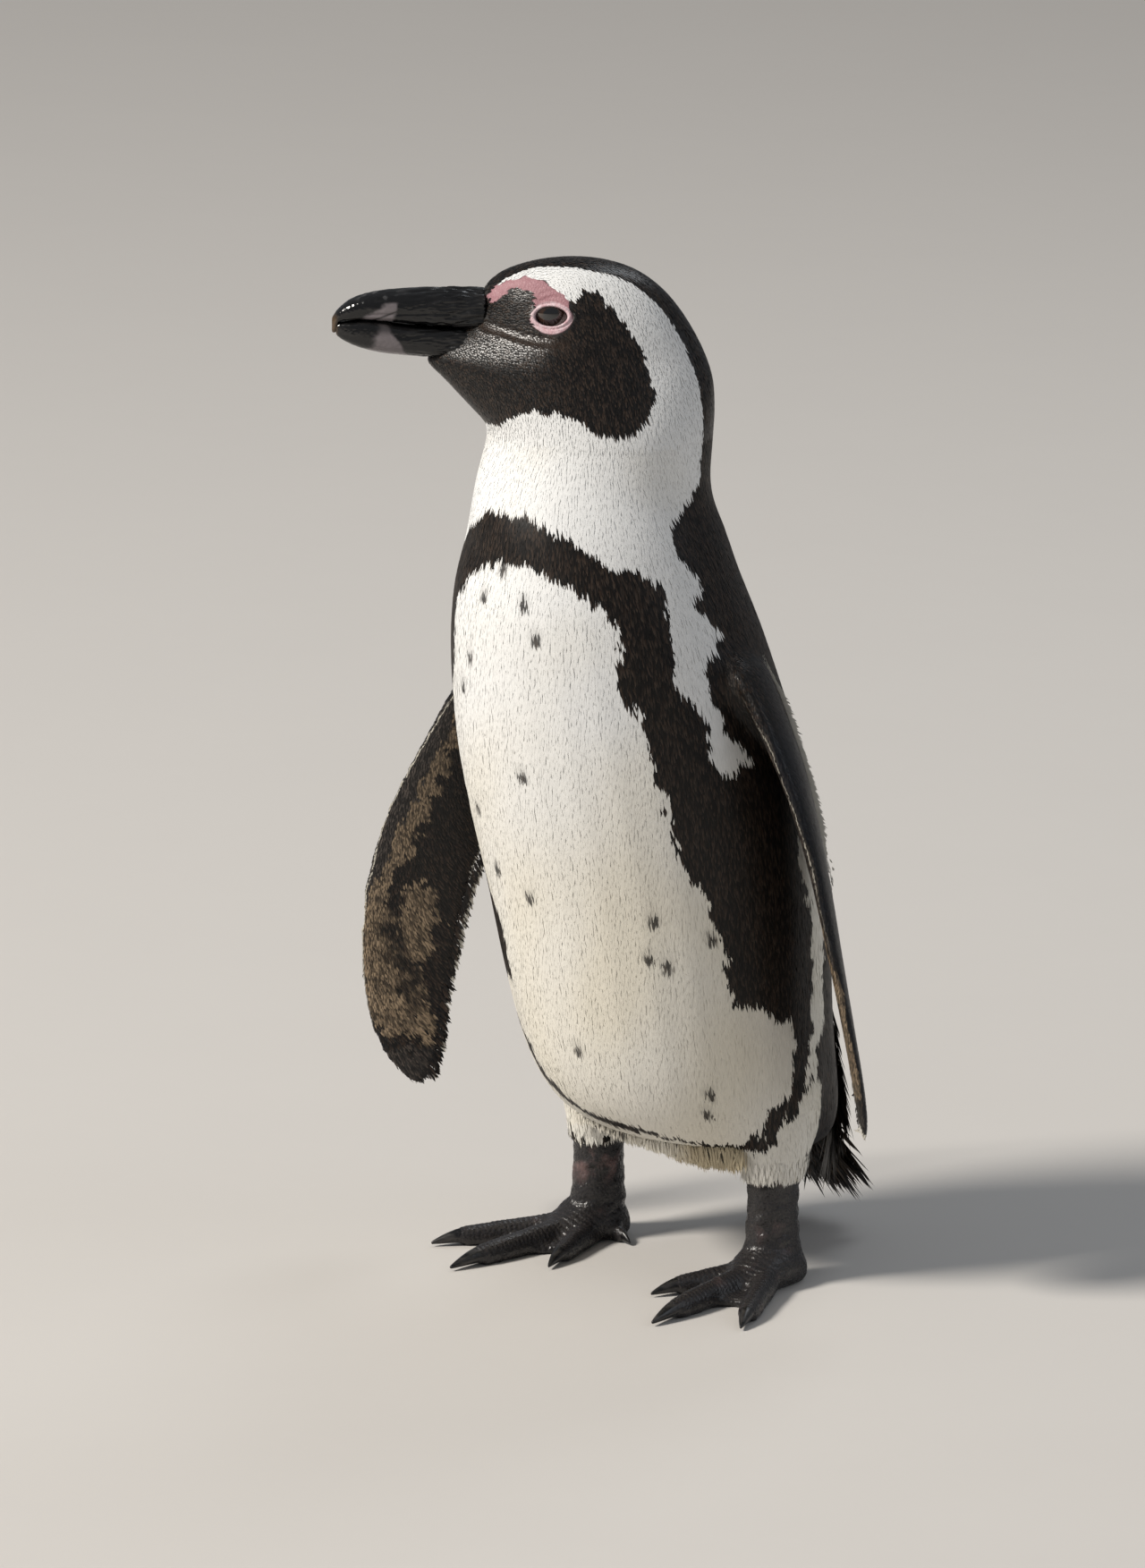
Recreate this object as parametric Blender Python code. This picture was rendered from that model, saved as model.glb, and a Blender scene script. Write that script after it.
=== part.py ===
"""African penguin standing at rest, life size, as a set of closed solids.

The bird faces -Y with +X to its own left, and its head is turned to its right.
Every surface is the outline out to the tips of the feathers. Lengths in the
tables are millimetres; the solids are metres.
"""

import math

import bmesh
import bpy
from mathutils import Matrix, Vector

MM = 0.001

# Driving dimensions, in millimetres
CROWN_HEIGHT = 446.0
ANKLES = {"left": (50.0, 0.0), "right": (-51.0, -7.0)}
NECK_AXIS_Y = -56.0         # upright axis the head turns about
HEAD_TURN = 43.0            # degrees to the bird's right
GAP = 0.3                   # clearance between neighbouring solids
EYE_RADIUS = 8.0
EYE_FORWARD = 18.5
EYE_HEIGHT = 425.5
EYE_SIDE = 16.8
HEM_HEIGHT = 43.0           # where the feathered thigh ends on the leg
ANKLE_HEIGHT = 15.0
TOE_OUT = {"left": 8.0, "right": 1.0}   # degrees each foot points outward

# Sides of the rings that the solids are lofted from, and steps between stations
BODY_SIDES = 26
FLIPPER_SIDES = 16
BILL_SIDES = 16
TAIL_SIDES = 20
LEG_SIDES = 20
TOE_SIDES = 10
CLAW_SIDES = 8
PAD_SIDES = 14
STATION_STEPS = 2
TOE_STEPS = 6
CLAW_STEPS = 5
WEB_STEPS = 6
SHARP_ANGLE = 50.0          # degrees between faces that are shaded apart

# How the sections bulge: 1 is an ellipse, less is squarer
BROW_FALLOFF = 1.3          # how fast a slim front widens behind
BILL_ROUND_SIDE = 0.8
BILL_FLAT_SIDE = 0.45
BLADE_EDGE = 0.30           # a flipper's rear edge against its thickest part
BLADE_FALLOFF = 0.7

# Body stations: turn, front reach, front height, back reach, back height,
# half width, slimming of the front. Reaches are measured along the way the
# station faces, from the neck axis.
TRUNK = (
    (0, -64, 51.0, -84, 47.0, 9, 0.0),
    (0, -43, 54.0, -101, 47.5, 34, 0.0),
    (0, -22, 60.0, -113, 51.5, 52, 0.0),
    (0, -4, 70.0, -119, 61.0, 60.5, 0.0),
    (0, 9, 84.0, -119, 78.0, 64.5, 0.0),
    (0, 19, 104.0, -115, 104.0, 67.5, 0.0),
    (0, 28, 136.0, -112, 136.0, 71.0, 0.0),
    (0, 36, 170.0, -110, 168.0, 73.5, 0.0),
    (0, 45, 203.0, -103, 200.0, 75.0, 0.0),
    (0, 52, 231.0, -94, 228.0, 74.0, 0.0),
    (0, 57, 258.0, -83, 258.0, 70.5, 0.0),
    (0, 60, 285.0, -72, 288.0, 65.5, 0.0),
    (0, 60, 309.0, -62, 312.0, 59.0, 0.0),
    (0, 56, 327.0, -57, 328.0, 53.5, 0.0),
)
NECK = (
    (0, 56, 327.0, -57, 328.0, 53.5, 0.0),
    (10, 54, 340.0, -51.5, 340.0, 48.5, 0.0),
    (26, 51, 352.0, -49, 352.0, 44.0, 0.0),
    (38, 47.5, 363.5, -49.5, 364.0, 40.5, 0.0),
    (HEAD_TURN, 45, 374.0, -50, 375.0, 38.5, 0.0),
)
HEAD = (
    (HEAD_TURN, 45, 374.0, -50, 375.0, 38.5, 0.0),
    (HEAD_TURN, 51, 381.0, -50.2, 383.0, 37.0, 0.05),
    (HEAD_TURN, 59, 389.5, -49.8, 393.0, 34.5, 0.15),
    (HEAD_TURN, 67, 398.0, -47.5, 401.5, 32.0, 0.32),
    (HEAD_TURN, 73, 403.8, -44.5, 409.0, 30.0, 0.50),
    (HEAD_TURN, 62, 413.5, -41.0, 415.5, 28.0, 0.46),
    (HEAD_TURN, 55, 423.0, -36.0, 423.5, 25.5, 0.40),
    (HEAD_TURN, 49, 432.0, -29.0, 432.0, 22.0, 0.30),
    (HEAD_TURN, 41, 439.4, -19.0, 439.8, 17.0, 0.20),
    (HEAD_TURN, 29, 443.8, -7.0, 444.3, 11.0, 0.10),
    (HEAD_TURN, 19, 445.6, 4.0, CROWN_HEIGHT, 4.0, 0.0),
)

# Bill stations: reach along the head, top height, bottom height, half width
BILL_UPPER = (
    (46, 432.5, 416.6, 10.2),
    (58, 432.8, 417.2, 10.0),
    (72, 432.8, 418.0, 8.6),
    (86, 432.0, 419.2, 7.4),
    (96, 430.2, 420.0, 6.4),
    (103, 427.4, 419.6, 5.0),
    (107.4, 423.8, 418.6, 3.4),
    (108.3, 422.6, 414.4, 2.6),
    (109.8, 420.4, 414.0, 1.2),
)
BILL_LOWER = (
    (48, 415.8, 404.4, 9.6),
    (58, 416.5, 404.2, 9.4),
    (72, 417.3, 404.2, 8.4),
    (86, 418.5, 405.2, 7.2),
    (94, 419.2, 406.6, 6.2),
    (101, 418.6, 408.8, 4.8),
    (106.9, 417.4, 413.0, 2.4),
)

# Flipper stations: centre x, y, z, way the leading edge points (degrees from
# straight ahead toward the outside), chord, thickness
LEFT_FLIPPER = (
    (50, -28, 287, 28, 34, 14),
    (65, -26, 273, 33, 42, 13),
    (76.5, -23, 251, 37, 46, 11.5),
    (85.5, -19, 227, 40, 48, 10.0),
    (91.5, -13, 193, 43, 48, 8.5),
    (95.5, -7.5, 156, 46, 46, 7.2),
    (98, -2, 122, 50, 41.5, 6.0),
    (100, 2, 96, 53, 33, 4.8),
    (100.6, 4.5, 79, 55, 20, 3.4),
    (100.4, 5.5, 71.5, 55, 7, 2.0),
)
RIGHT_FLIPPER = (
    (-50, -26, 288, 14, 34, 14),
    (-66, -28, 270, 22, 42, 13.5),
    (-80, -33, 243, 30, 46, 11.5),
    (-94, -40, 211, 38, 48, 10.0),
    (-109, -47, 179, 42, 47.5, 8.5),
    (-117.5, -52, 149, 44, 46, 7.4),
    (-119.5, -55, 122, 44, 43, 6.2),
    (-117.5, -57.5, 97, 44, 37, 5.0),
    (-112, -58, 76, 44, 23, 3.6),
    (-107, -58, 66.5, 44, 9, 2.0),
)

# Tail stations: centre y, z, half width, half thickness
TAIL = (
    (34, 92, 20, 15),
    (50, 72, 25, 14),
    (62, 52, 28, 11.5),
    (73, 34, 28, 8.5),
    (82, 18, 22, 5.5),
    (88, 9, 10, 3.0),
)
TAIL_RAKE = 58.0            # degrees the tail feathers slope below level

# Thigh stations: outward shift from the ankle, y, z, radius along, across
THIGH = (
    (0, 1, HEM_HEIGHT, 11.5, 10.5),
    (0, 1, 48, 14.0, 12.5),
    (-0.5, 2, 58, 17.5, 15.5),
    (-1.5, 3, 72, 21.5, 18.0),
    (-3, 3, 90, 25.0, 20.0),
    (-8, 2, 112, 25.0, 19.0),
)
SHANK = (
    (0, 1, ANKLE_HEIGHT, 13.4, 10.4),
    (0, 0.5, 22, 12.6, 9.8),
    (0, 0.8, 32, 11.8, 9.6),
    (0, 1, HEM_HEIGHT - GAP, 11.4, 10.2),
)

# Toes in the foot's own plan: angle from the foot's line (plus is outward),
# length to the claw, root and tip half widths, root and tip heights
TOES = {
    "inner": (-25.0, 46.0, 5.2, 4.0, 12.0, 8.0),
    "middle": (1.0, 69.0, 6.0, 4.6, 13.5, 8.6),
    "outer": (27.0, 62.0, 5.4, 4.2, 12.5, 8.0),
}
CLAW_LENGTH = {"inner": 13.0, "middle": 17.0, "outer": 14.0}
TOE_ROOT = -3.0             # forward place where the toes meet, from the ankle
HIND_TOE = (-80.0, 16.5, 3.2, 2.4, 9.5, 6.5)
HIND_CLAW_LENGTH = 6.0
KNUCKLE = 0.10              # swelling of a toe at its joints
SOLE_DEPTH = 3.0            # how far toes reach below the floor before the sole is cut
CLAW_MARGIN = 0.9           # how much narrower a claw is than its toe
CLAW_TAPER = (0.86, 1.4)    # loss of width toward the tip, and its falloff
CLAW_DROP = (0.62, 1.5)     # fall of its middle line
CLAW_THINNING = (0.80, 1.3)

# Web: share of the toes' length that it reaches, hollow of its front edges,
# its levels, and the shrinking of the top one
WEB_REACH = 0.80
WEB_HOLLOW = 0.16
WEB_LEVELS = ((-2.0, 1.0), (2.6, 1.0), (3.4, 0.97))

# Fleshy pad under the ankle: forward place, half width, height
PAD = ((-14, 6, 9), (-11, 10, 15), (-4, 12.5, 19), (8, 12.5, 19), (18, 11, 14), (28, 7, 9))
PAD_DEPTH = 4.0
PAD_SHIFT = 1.0             # outward
FLOOR_BLOCK = (120.0, 40.0) # reach and depth of the block that levels the sole


def material(name, colour, roughness):
    """A plain surface with one colour."""
    made = bpy.data.materials.new(name)
    made.use_nodes = True
    shader = made.node_tree.nodes["Principled BSDF"]
    shader.inputs["Base Color"].default_value = (*colour, 1.0)
    shader.inputs["Roughness"].default_value = roughness
    shader.inputs["Metallic"].default_value = 0.0
    return made


def catmull(rows, position):
    """Smooth blend of the rows of a table at a fractional row position."""
    index = min(int(position), len(rows) - 2)
    t = position - index
    before = rows[max(index - 1, 0)]
    start = rows[index]
    end = rows[index + 1]
    after = rows[min(index + 2, len(rows) - 1)]
    blended = []
    for p0, p1, p2, p3 in zip(before, start, end, after):
        cubic = -p0 + 3 * p1 - 3 * p2 + p3
        square = 2 * p0 - 5 * p1 + 4 * p2 - p3
        blended.append(0.5 * (2 * p1 + (p2 - p0) * t + square * t * t + cubic * t ** 3))
    return blended


def rows_between(rows, steps=STATION_STEPS):
    """The table read at several places to each of its spans."""
    count = (len(rows) - 1) * steps
    return [catmull(rows, i / steps) for i in range(count + 1)]


def solid_from_rings(name, rings, surface, collection):
    """Skin a list of rings and close both ends, as one outward body."""
    mesh = bpy.data.meshes.new(name)
    shape = bmesh.new()
    loops = [[shape.verts.new(Vector(point) * MM) for point in ring] for ring in rings]
    sides = len(rings[0])
    for low, high in zip(loops, loops[1:]):
        for i in range(sides):
            j = (i + 1) % sides
            shape.faces.new((low[i], low[j], high[j], high[i]))
    shape.faces.new(list(reversed(loops[0])))
    shape.faces.new(loops[-1])
    bmesh.ops.recalc_face_normals(shape, faces=shape.faces)
    shape.to_mesh(mesh)
    shape.free()
    mesh.shade_smooth()
    mesh.set_sharp_from_angle(angle=math.radians(SHARP_ANGLE))
    made = bpy.data.objects.new(name, mesh)
    made.data.materials.append(surface)
    collection.objects.link(made)
    return made


def body_ring(station, grow=0.0):
    """One closed section of the trunk, neck or head."""
    turn, front, front_z, back, back_z, half, slim = station
    heading = Vector((-math.sin(math.radians(turn)), -math.cos(math.radians(turn)), 0.0))
    left = Vector((-heading.y, heading.x, 0.0))
    axis = Vector((0.0, NECK_AXIS_Y, 0.0))
    front_point = axis + heading * front + Vector((0, 0, front_z))
    back_point = axis + heading * back + Vector((0, 0, back_z))
    middle = (front_point + back_point) / 2
    along = (front_point - back_point) / 2
    along += along.normalized() * grow
    points = []
    for i in range(BODY_SIDES):
        angle = 2 * math.pi * i / BODY_SIDES
        forward = math.cos(angle)
        width = 1.0 - slim * max(forward, 0.0) ** BROW_FALLOFF
        points.append(middle + along * forward + left * ((half + grow) * math.sin(angle) * width))
    return points


def lift(ring, amount):
    """A ring moved along its own middle line by a small step."""
    return [point + Vector((0, 0, amount)) for point in ring]


def make_trunk(name, surface, collection, grow=0.0):
    """The trunk from under the belly to the base of the neck."""
    rings = [body_ring(row, grow) for row in rows_between(TRUNK)]
    if grow:
        rings[0] = lift(rings[0], -grow)
        rings[-1] = lift(rings[-1], grow)
    return solid_from_rings(name, rings, surface, collection)


def make_neck(surface, collection):
    """The neck, twisting from the body's heading to the head's."""
    rings = [body_ring(row) for row in rows_between(NECK)]
    rings[0] = lift(rings[0], GAP)
    return solid_from_rings("neck", rings, surface, collection)


def make_head(surface, collection):
    """The turned head, from the throat to the crown."""
    rings = [body_ring(row) for row in rows_between(HEAD)]
    rings[0] = lift(rings[0], GAP)
    return solid_from_rings("head", rings, surface, collection)


def head_point(reach, side, height):
    """A place on the turned head: forward reach, shift to its left, height."""
    turn = math.radians(HEAD_TURN)
    heading = Vector((-math.sin(turn), -math.cos(turn), 0.0))
    left = Vector((-heading.y, heading.x, 0.0))
    return Vector((0, NECK_AXIS_Y, height)) + heading * reach + left * side


def bill_rings(rows, upper, grow=0.0):
    """Sections of half a bill, flat where the two halves meet."""
    rings = []
    for reach, top, bottom, half in rows_between(rows):
        low, high = bottom - grow, top + grow
        ring = []
        for i in range(BILL_SIDES):
            angle = 2 * math.pi * i / BILL_SIDES
            side = math.cos(angle)
            rise = math.sin(angle)
            power = BILL_ROUND_SIDE if (rise > 0) == upper else BILL_FLAT_SIDE
            rise = math.copysign(abs(rise) ** power, rise)
            height = (high + low) / 2 + (high - low) / 2 * rise
            ring.append(head_point(reach, (half + grow) * side, height))
        rings.append(ring)
    return rings


def make_bill(name, rows, upper, surface, collection, grow=0.0):
    """Half of the bill, or with grow the clearance that it needs in the head."""
    rings = bill_rings(rows, upper, grow)
    return solid_from_rings(name, rings, surface, collection)


def flipper_ring(station, outward):
    """One blade section: thick near the leading edge, thin behind."""
    x, y, z, toward, chord, thick, tangent = station
    angle = math.radians(toward)
    lead = Vector((outward * math.sin(angle), -math.cos(angle), 0.0))
    lead = (lead - tangent * lead.dot(tangent)).normalized()
    normal = tangent.cross(lead)
    points = []
    for i in range(FLIPPER_SIDES):
        turn = 2 * math.pi * i / FLIPPER_SIDES
        along = math.cos(turn)
        swell = BLADE_EDGE + (1 - BLADE_EDGE) * ((1 + along) / 2) ** BLADE_FALLOFF
        across = math.sin(turn) * swell
        points.append(Vector((x, y, z)) + lead * (along * chord / 2) + normal * (across * thick / 2))
    return points


def make_flipper(name, rows, outward, surface, collection):
    """A flipper from inside the shoulder to its rounded tip."""
    table = rows_between(rows)
    rings = []
    for i, row in enumerate(table):
        ahead = table[min(i + 1, len(table) - 1)]
        behind = table[max(i - 1, 0)]
        tangent = (Vector(ahead[:3]) - Vector(behind[:3])).normalized()
        rings.append(flipper_ring((*row, tangent), outward))
    return solid_from_rings(name, rings, surface, collection)


def make_tail(surface, collection):
    """A wedge of stiff feathers, flattened and raked down behind."""
    rake = math.radians(TAIL_RAKE)
    normal = Vector((0, math.sin(rake), math.cos(rake)))
    rings = []
    for y, z, half, thick in rows_between(TAIL):
        ring = []
        for i in range(TAIL_SIDES):
            angle = 2 * math.pi * i / TAIL_SIDES
            side = Vector((half * math.cos(angle), 0, 0))
            ring.append(Vector((0, y, z)) + side + normal * (thick * math.sin(angle)))
        rings.append(ring)
    return solid_from_rings("tail", rings, surface, collection)


def leg_rings(rows, side_name, grow=0.0):
    """Level oval sections up the leg."""
    rings = []
    ankle_x, ankle_y = ANKLES[side_name]
    outward = math.copysign(1, ankle_x)
    for shift, y, z, along, across in rows:
        centre = Vector((ankle_x + outward * shift, ankle_y + y, z))
        ring = []
        for i in range(LEG_SIDES):
            angle = 2 * math.pi * i / LEG_SIDES
            offset = Vector(((across + grow) * math.cos(angle), (along + grow) * math.sin(angle), 0))
            ring.append(centre + offset)
        rings.append(ring)
    return rings


def foot_point(side_name, forward, side, height):
    """A place on the foot: ahead of the ankle, outward, and up."""
    angle = math.radians(TOE_OUT[side_name])
    ankle_x, ankle_y = ANKLES[side_name]
    outward = math.copysign(1, ankle_x)
    ahead = Vector((outward * math.sin(angle), -math.cos(angle), 0))
    across = Vector((outward * math.cos(angle), math.sin(angle), 0))
    return Vector((ankle_x, ankle_y, height)) + ahead * forward + across * side


def toe_line(angle, distance):
    """Forward and sideways place at a distance along a toe."""
    turn = math.radians(angle)
    return TOE_ROOT + distance * math.cos(turn), distance * math.sin(turn)


def toe_ring(side_name, angle, distance, half, height):
    """An upright arched section across a toe, from below the sole."""
    turn = math.radians(angle)
    forward, side = toe_line(angle, distance)
    points = []
    for i in range(TOE_SIDES):
        around = 2 * math.pi * i / TOE_SIDES
        shift = half * math.cos(around)
        level = (height - SOLE_DEPTH) / 2 + (height + SOLE_DEPTH) / 2 * math.sin(around)
        points.append(foot_point(side_name, forward - shift * math.sin(turn),
                                 side + shift * math.cos(turn), level))
    return points


def make_toe(name, side_name, toe, surface, collection):
    """One toe, slightly swollen at its joints."""
    angle, length, root_half, tip_half, root_height, tip_height = toe
    rings = []
    for step in range(TOE_STEPS + 1):
        t = step / TOE_STEPS
        knuckle = 1 + KNUCKLE * math.sin(3 * math.pi * t) ** 2
        half = (root_half + (tip_half - root_half) * t) * knuckle
        height = root_height + (tip_height - root_height) * t
        rings.append(toe_ring(side_name, angle, length * t, half, height))
    return solid_from_rings(name, rings, surface, collection)


def falling(share, t):
    """What is left of a size at t along its length, for (loss, falloff)."""
    loss, falloff = share
    return 1 - loss * t ** falloff


def make_claw(name, side_name, toe, length, surface, collection):
    """A curved nail that tapers from the toe's end down to the ground."""
    angle, start, _, tip_half, _, tip_height = toe
    rings = []
    for step in range(CLAW_STEPS + 1):
        t = step / CLAW_STEPS
        half = (tip_half - CLAW_MARGIN) * falling(CLAW_TAPER, t)
        middle = tip_height / 2 * falling(CLAW_DROP, t)
        rise = min((tip_height / 2 - 2 * GAP) * falling(CLAW_THINNING, t), middle - GAP / 6)
        turn = math.radians(angle)
        forward, side = toe_line(angle, start + GAP + length * t)
        ring = []
        for i in range(CLAW_SIDES):
            around = 2 * math.pi * i / CLAW_SIDES
            shift = half * math.cos(around)
            ring.append(foot_point(side_name, forward - shift * math.sin(turn),
                                   side + shift * math.cos(turn), middle + rise * math.sin(around)))
        rings.append(ring)
    return solid_from_rings(name, rings, surface, collection)


def make_web(name, side_name, surface, collection):
    """The skin between the toes: a thin plate with hollowed front edges."""
    outline = [toe_line(0, -6)]
    names = list(TOES)
    for first, second in zip(names, names[1:]):
        a_angle, a_length = TOES[first][:2]
        b_angle, b_length = TOES[second][:2]
        for step in range(WEB_STEPS + 1):
            t = step / WEB_STEPS
            angle = a_angle + (b_angle - a_angle) * t
            length = (a_length + (b_length - a_length) * t) * WEB_REACH
            length *= 1 - WEB_HOLLOW * math.sin(math.pi * t)
            if step or first == "inner":
                outline.append(toe_line(angle, length))
    rings = []
    for level, shrink in WEB_LEVELS:
        rings.append([foot_point(side_name, f * shrink, s * shrink, level) for f, s in outline])
    return solid_from_rings(name, rings, surface, collection)


def make_pad(name, side_name, surface, collection):
    """The fleshy middle of the foot under the ankle."""
    rings = []
    for forward, half, height in rows_between(PAD):
        ring = []
        for i in range(PAD_SIDES):
            around = 2 * math.pi * i / PAD_SIDES
            level = (height - PAD_DEPTH) / 2 + (height + PAD_DEPTH) / 2 * math.sin(around)
            side = half * math.cos(around) + PAD_SHIFT
            ring.append(foot_point(side_name, forward, side, level))
        rings.append(ring)
    return solid_from_rings(name, rings, surface, collection)


def box(name, low, high, surface, collection):
    """An upright box between two corners."""
    mesh = bpy.data.meshes.new(name)
    shape = bmesh.new()
    bmesh.ops.create_cube(shape, size=1.0)
    size = [(b - a) * MM for a, b in zip(low, high)]
    centre = [(a + b) / 2 * MM for a, b in zip(low, high)]
    shape.transform(Matrix.Translation(centre) @ Matrix.Diagonal((*size, 1)))
    shape.to_mesh(mesh)
    shape.free()
    made = bpy.data.objects.new(name, mesh)
    made.data.materials.append(surface)
    collection.objects.link(made)
    return made


def ball(name, centre, radius, segments, rings, surface, collection):
    """A ball whose poles point to the sides of the turned head."""
    mesh = bpy.data.meshes.new(name)
    shape = bmesh.new()
    bmesh.ops.create_uvsphere(shape, u_segments=segments, v_segments=rings, radius=radius * MM)
    shape.to_mesh(mesh)
    shape.free()
    mesh.shade_smooth()
    made = bpy.data.objects.new(name, mesh)
    made.location = Vector(centre) * MM
    made.rotation_euler = (0, math.radians(90), -math.radians(HEAD_TURN))
    made.data.materials.append(surface)
    collection.objects.link(made)
    return made


def as_cutter(item):
    """Keep a helper out of the finished bird."""
    item.hide_render = True
    item.display_type = "WIRE"
    return item


def cut(target, tool, operation="DIFFERENCE"):
    """Join, trim or hollow one solid with another."""
    step = target.modifiers.new(operation.title(), "BOOLEAN")
    step.operation = operation
    step.solver = "EXACT"
    step.object = as_cutter(tool)


def make_foot(side_name, surface, horn, parts, cutters):
    """Foot with three webbed toes and a small hind toe, flat under the sole."""
    foot = make_pad("foot_" + side_name, side_name, surface, parts)
    toes = (*TOES.items(), ("hind", HIND_TOE))
    for toe_name, toe in toes:
        made = make_toe(f"{toe_name}_toe_{side_name}", side_name, toe, surface, cutters)
        cut(foot, made, "UNION")
    cut(foot, make_web("web_" + side_name, side_name, surface, cutters), "UNION")
    ankle_x, ankle_y = ANKLES[side_name]
    reach, depth = FLOOR_BLOCK
    low = (ankle_x - reach, ankle_y - reach, -depth)
    high = (ankle_x + reach, ankle_y + reach, 0)
    cut(foot, box("floor_" + side_name, low, high, surface, cutters))
    seat = leg_rings(SHANK[:3], side_name, grow=GAP)
    seat[0] = lift(seat[0], -GAP)
    cut(foot, solid_from_rings("seat_" + side_name, seat, surface, cutters))
    lengths = {**CLAW_LENGTH, "hind": HIND_CLAW_LENGTH}
    for toe_name, toe in toes:
        make_claw(f"claw_{toe_name}_{side_name}", side_name, toe, lengths[toe_name], horn, parts)


def make_leg(side_name, feathers, skin, horn, parts, cutters, body):
    """Feathered thigh, bare shank and foot of one side."""
    rings = leg_rings(THIGH, side_name)
    cut(solid_from_rings("thigh_" + side_name, rings, feathers, parts), body)
    rings = leg_rings(SHANK, side_name)
    solid_from_rings("shank_" + side_name, rings, skin, parts)
    make_foot(side_name, skin, horn, parts, cutters)


def shift_to_origin(parts):
    """The move that puts the origin on the floor under the middle of the bird."""
    bpy.context.view_layer.update()
    reader = bpy.context.evaluated_depsgraph_get()
    points = []
    for item in parts.objects:
        seen = item.evaluated_get(reader)
        points += [item.matrix_world @ vertex.co for vertex in seen.data.vertices]
    lows = [min(point[i] for point in points) for i in range(3)]
    highs = [max(point[i] for point in points) for i in range(3)]
    return Vector((-(lows[0] + highs[0]) / 2, -(lows[1] + highs[1]) / 2, -lows[2]))


def main():
    """Build the whole bird, standing on the floor at the origin."""
    for item in list(bpy.data.objects):
        bpy.data.objects.remove(item, do_unlink=True)
    parts = bpy.data.collections.new("penguin")
    cutters = bpy.data.collections.new("cutters")
    for collection in (parts, cutters):
        bpy.context.scene.collection.children.link(collection)

    white = material("white_feathers", (0.78, 0.77, 0.74), 0.75)
    black = material("black_feathers", (0.022, 0.020, 0.019), 0.6)
    leather = material("leg_skin", (0.035, 0.030, 0.030), 0.5)
    horn = material("bill_horn", (0.018, 0.018, 0.020), 0.25)
    claw = material("claw_horn", (0.030, 0.028, 0.028), 0.3)
    eye = material("eye", (0.020, 0.010, 0.006), 0.05)

    make_trunk("trunk", white, parts)
    body = as_cutter(make_trunk("trunk_clearance", white, cutters, grow=GAP))
    make_neck(white, parts)
    head = make_head(black, parts)

    make_bill("bill_upper", BILL_UPPER, True, horn, parts)
    make_bill("bill_lower", BILL_LOWER, False, horn, parts)
    cut(head, make_bill("upper_clearance", BILL_UPPER, True, horn, cutters, grow=GAP))
    cut(head, make_bill("lower_clearance", BILL_LOWER, False, horn, cutters, grow=GAP))
    for side_name, side in (("left", 1), ("right", -1)):
        centre = head_point(EYE_FORWARD, side * EYE_SIDE, EYE_HEIGHT)
        ball("eye_" + side_name, centre, EYE_RADIUS, 14, 9, eye, parts)
        cut(head, ball("socket_" + side_name, centre, EYE_RADIUS + 2 * GAP, 16, 10, eye, cutters))

    cut(make_flipper("flipper_left", LEFT_FLIPPER, 1, black, parts), body)
    cut(make_flipper("flipper_right", RIGHT_FLIPPER, -1, black, parts), body)
    cut(make_tail(black, parts), body)
    for side_name in ANKLES:
        make_leg(side_name, white, leather, claw, parts, cutters, body)

    shift = shift_to_origin(parts)
    for collection in (parts, cutters):
        for item in collection.objects:
            item.location += shift


main()
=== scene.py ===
"""Skin, plumage, bill, eyes, claws and stage of a life-size African penguin.

One continuous skin is grown over the bird's solids and set in by the depth of
the plumage. Feathers are then planted on it as narrow vanes that follow the
lie of the coat. Places on the body are given as an angle round its axis and a
height, places on the head as forward, left and up from between the eyes.
Lengths in the tables are millimetres, and the frame's are metres.
"""

import math

import bmesh
import bpy
import numpy as np
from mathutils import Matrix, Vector
from mathutils.bvhtree import BVHTree
from mathutils.kdtree import KDTree


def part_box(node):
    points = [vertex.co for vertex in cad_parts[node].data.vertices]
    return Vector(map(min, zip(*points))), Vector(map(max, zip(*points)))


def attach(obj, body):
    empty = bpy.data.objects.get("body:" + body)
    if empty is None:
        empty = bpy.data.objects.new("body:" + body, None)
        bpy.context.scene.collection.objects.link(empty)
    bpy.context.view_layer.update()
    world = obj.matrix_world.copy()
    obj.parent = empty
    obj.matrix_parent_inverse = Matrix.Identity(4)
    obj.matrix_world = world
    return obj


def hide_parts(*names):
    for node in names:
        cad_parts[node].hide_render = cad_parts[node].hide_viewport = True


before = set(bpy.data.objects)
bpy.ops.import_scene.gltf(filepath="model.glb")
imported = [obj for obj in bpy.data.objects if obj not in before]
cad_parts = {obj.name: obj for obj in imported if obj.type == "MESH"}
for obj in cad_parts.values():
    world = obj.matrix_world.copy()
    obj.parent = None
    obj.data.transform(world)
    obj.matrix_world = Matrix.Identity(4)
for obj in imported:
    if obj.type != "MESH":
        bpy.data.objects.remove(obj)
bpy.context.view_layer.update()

bl_info = {
    "name": "Penguin Plumage",
    "version": (1, 0, 0),
    "blender": (4, 5, 0),
    "location": "3D View > Sidebar > Penguin",
    "description": "Grows the skin, feathers, bill, eyes and claws of an African penguin over its solids",
    "category": "Object",
}

MM = 0.001
FLESH = ("head", "neck", "trunk", "tail", "flipper_left", "flipper_right", "thigh_left", "thigh_right",
         "shank_left", "shank_right", "foot_left", "foot_right")
KINDS = np.array([name.split("_")[0] for name in FLESH])
SIDES = {"left": 1.0, "right": -1.0}
TOES = ("inner", "middle", "outer", "hind")

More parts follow.
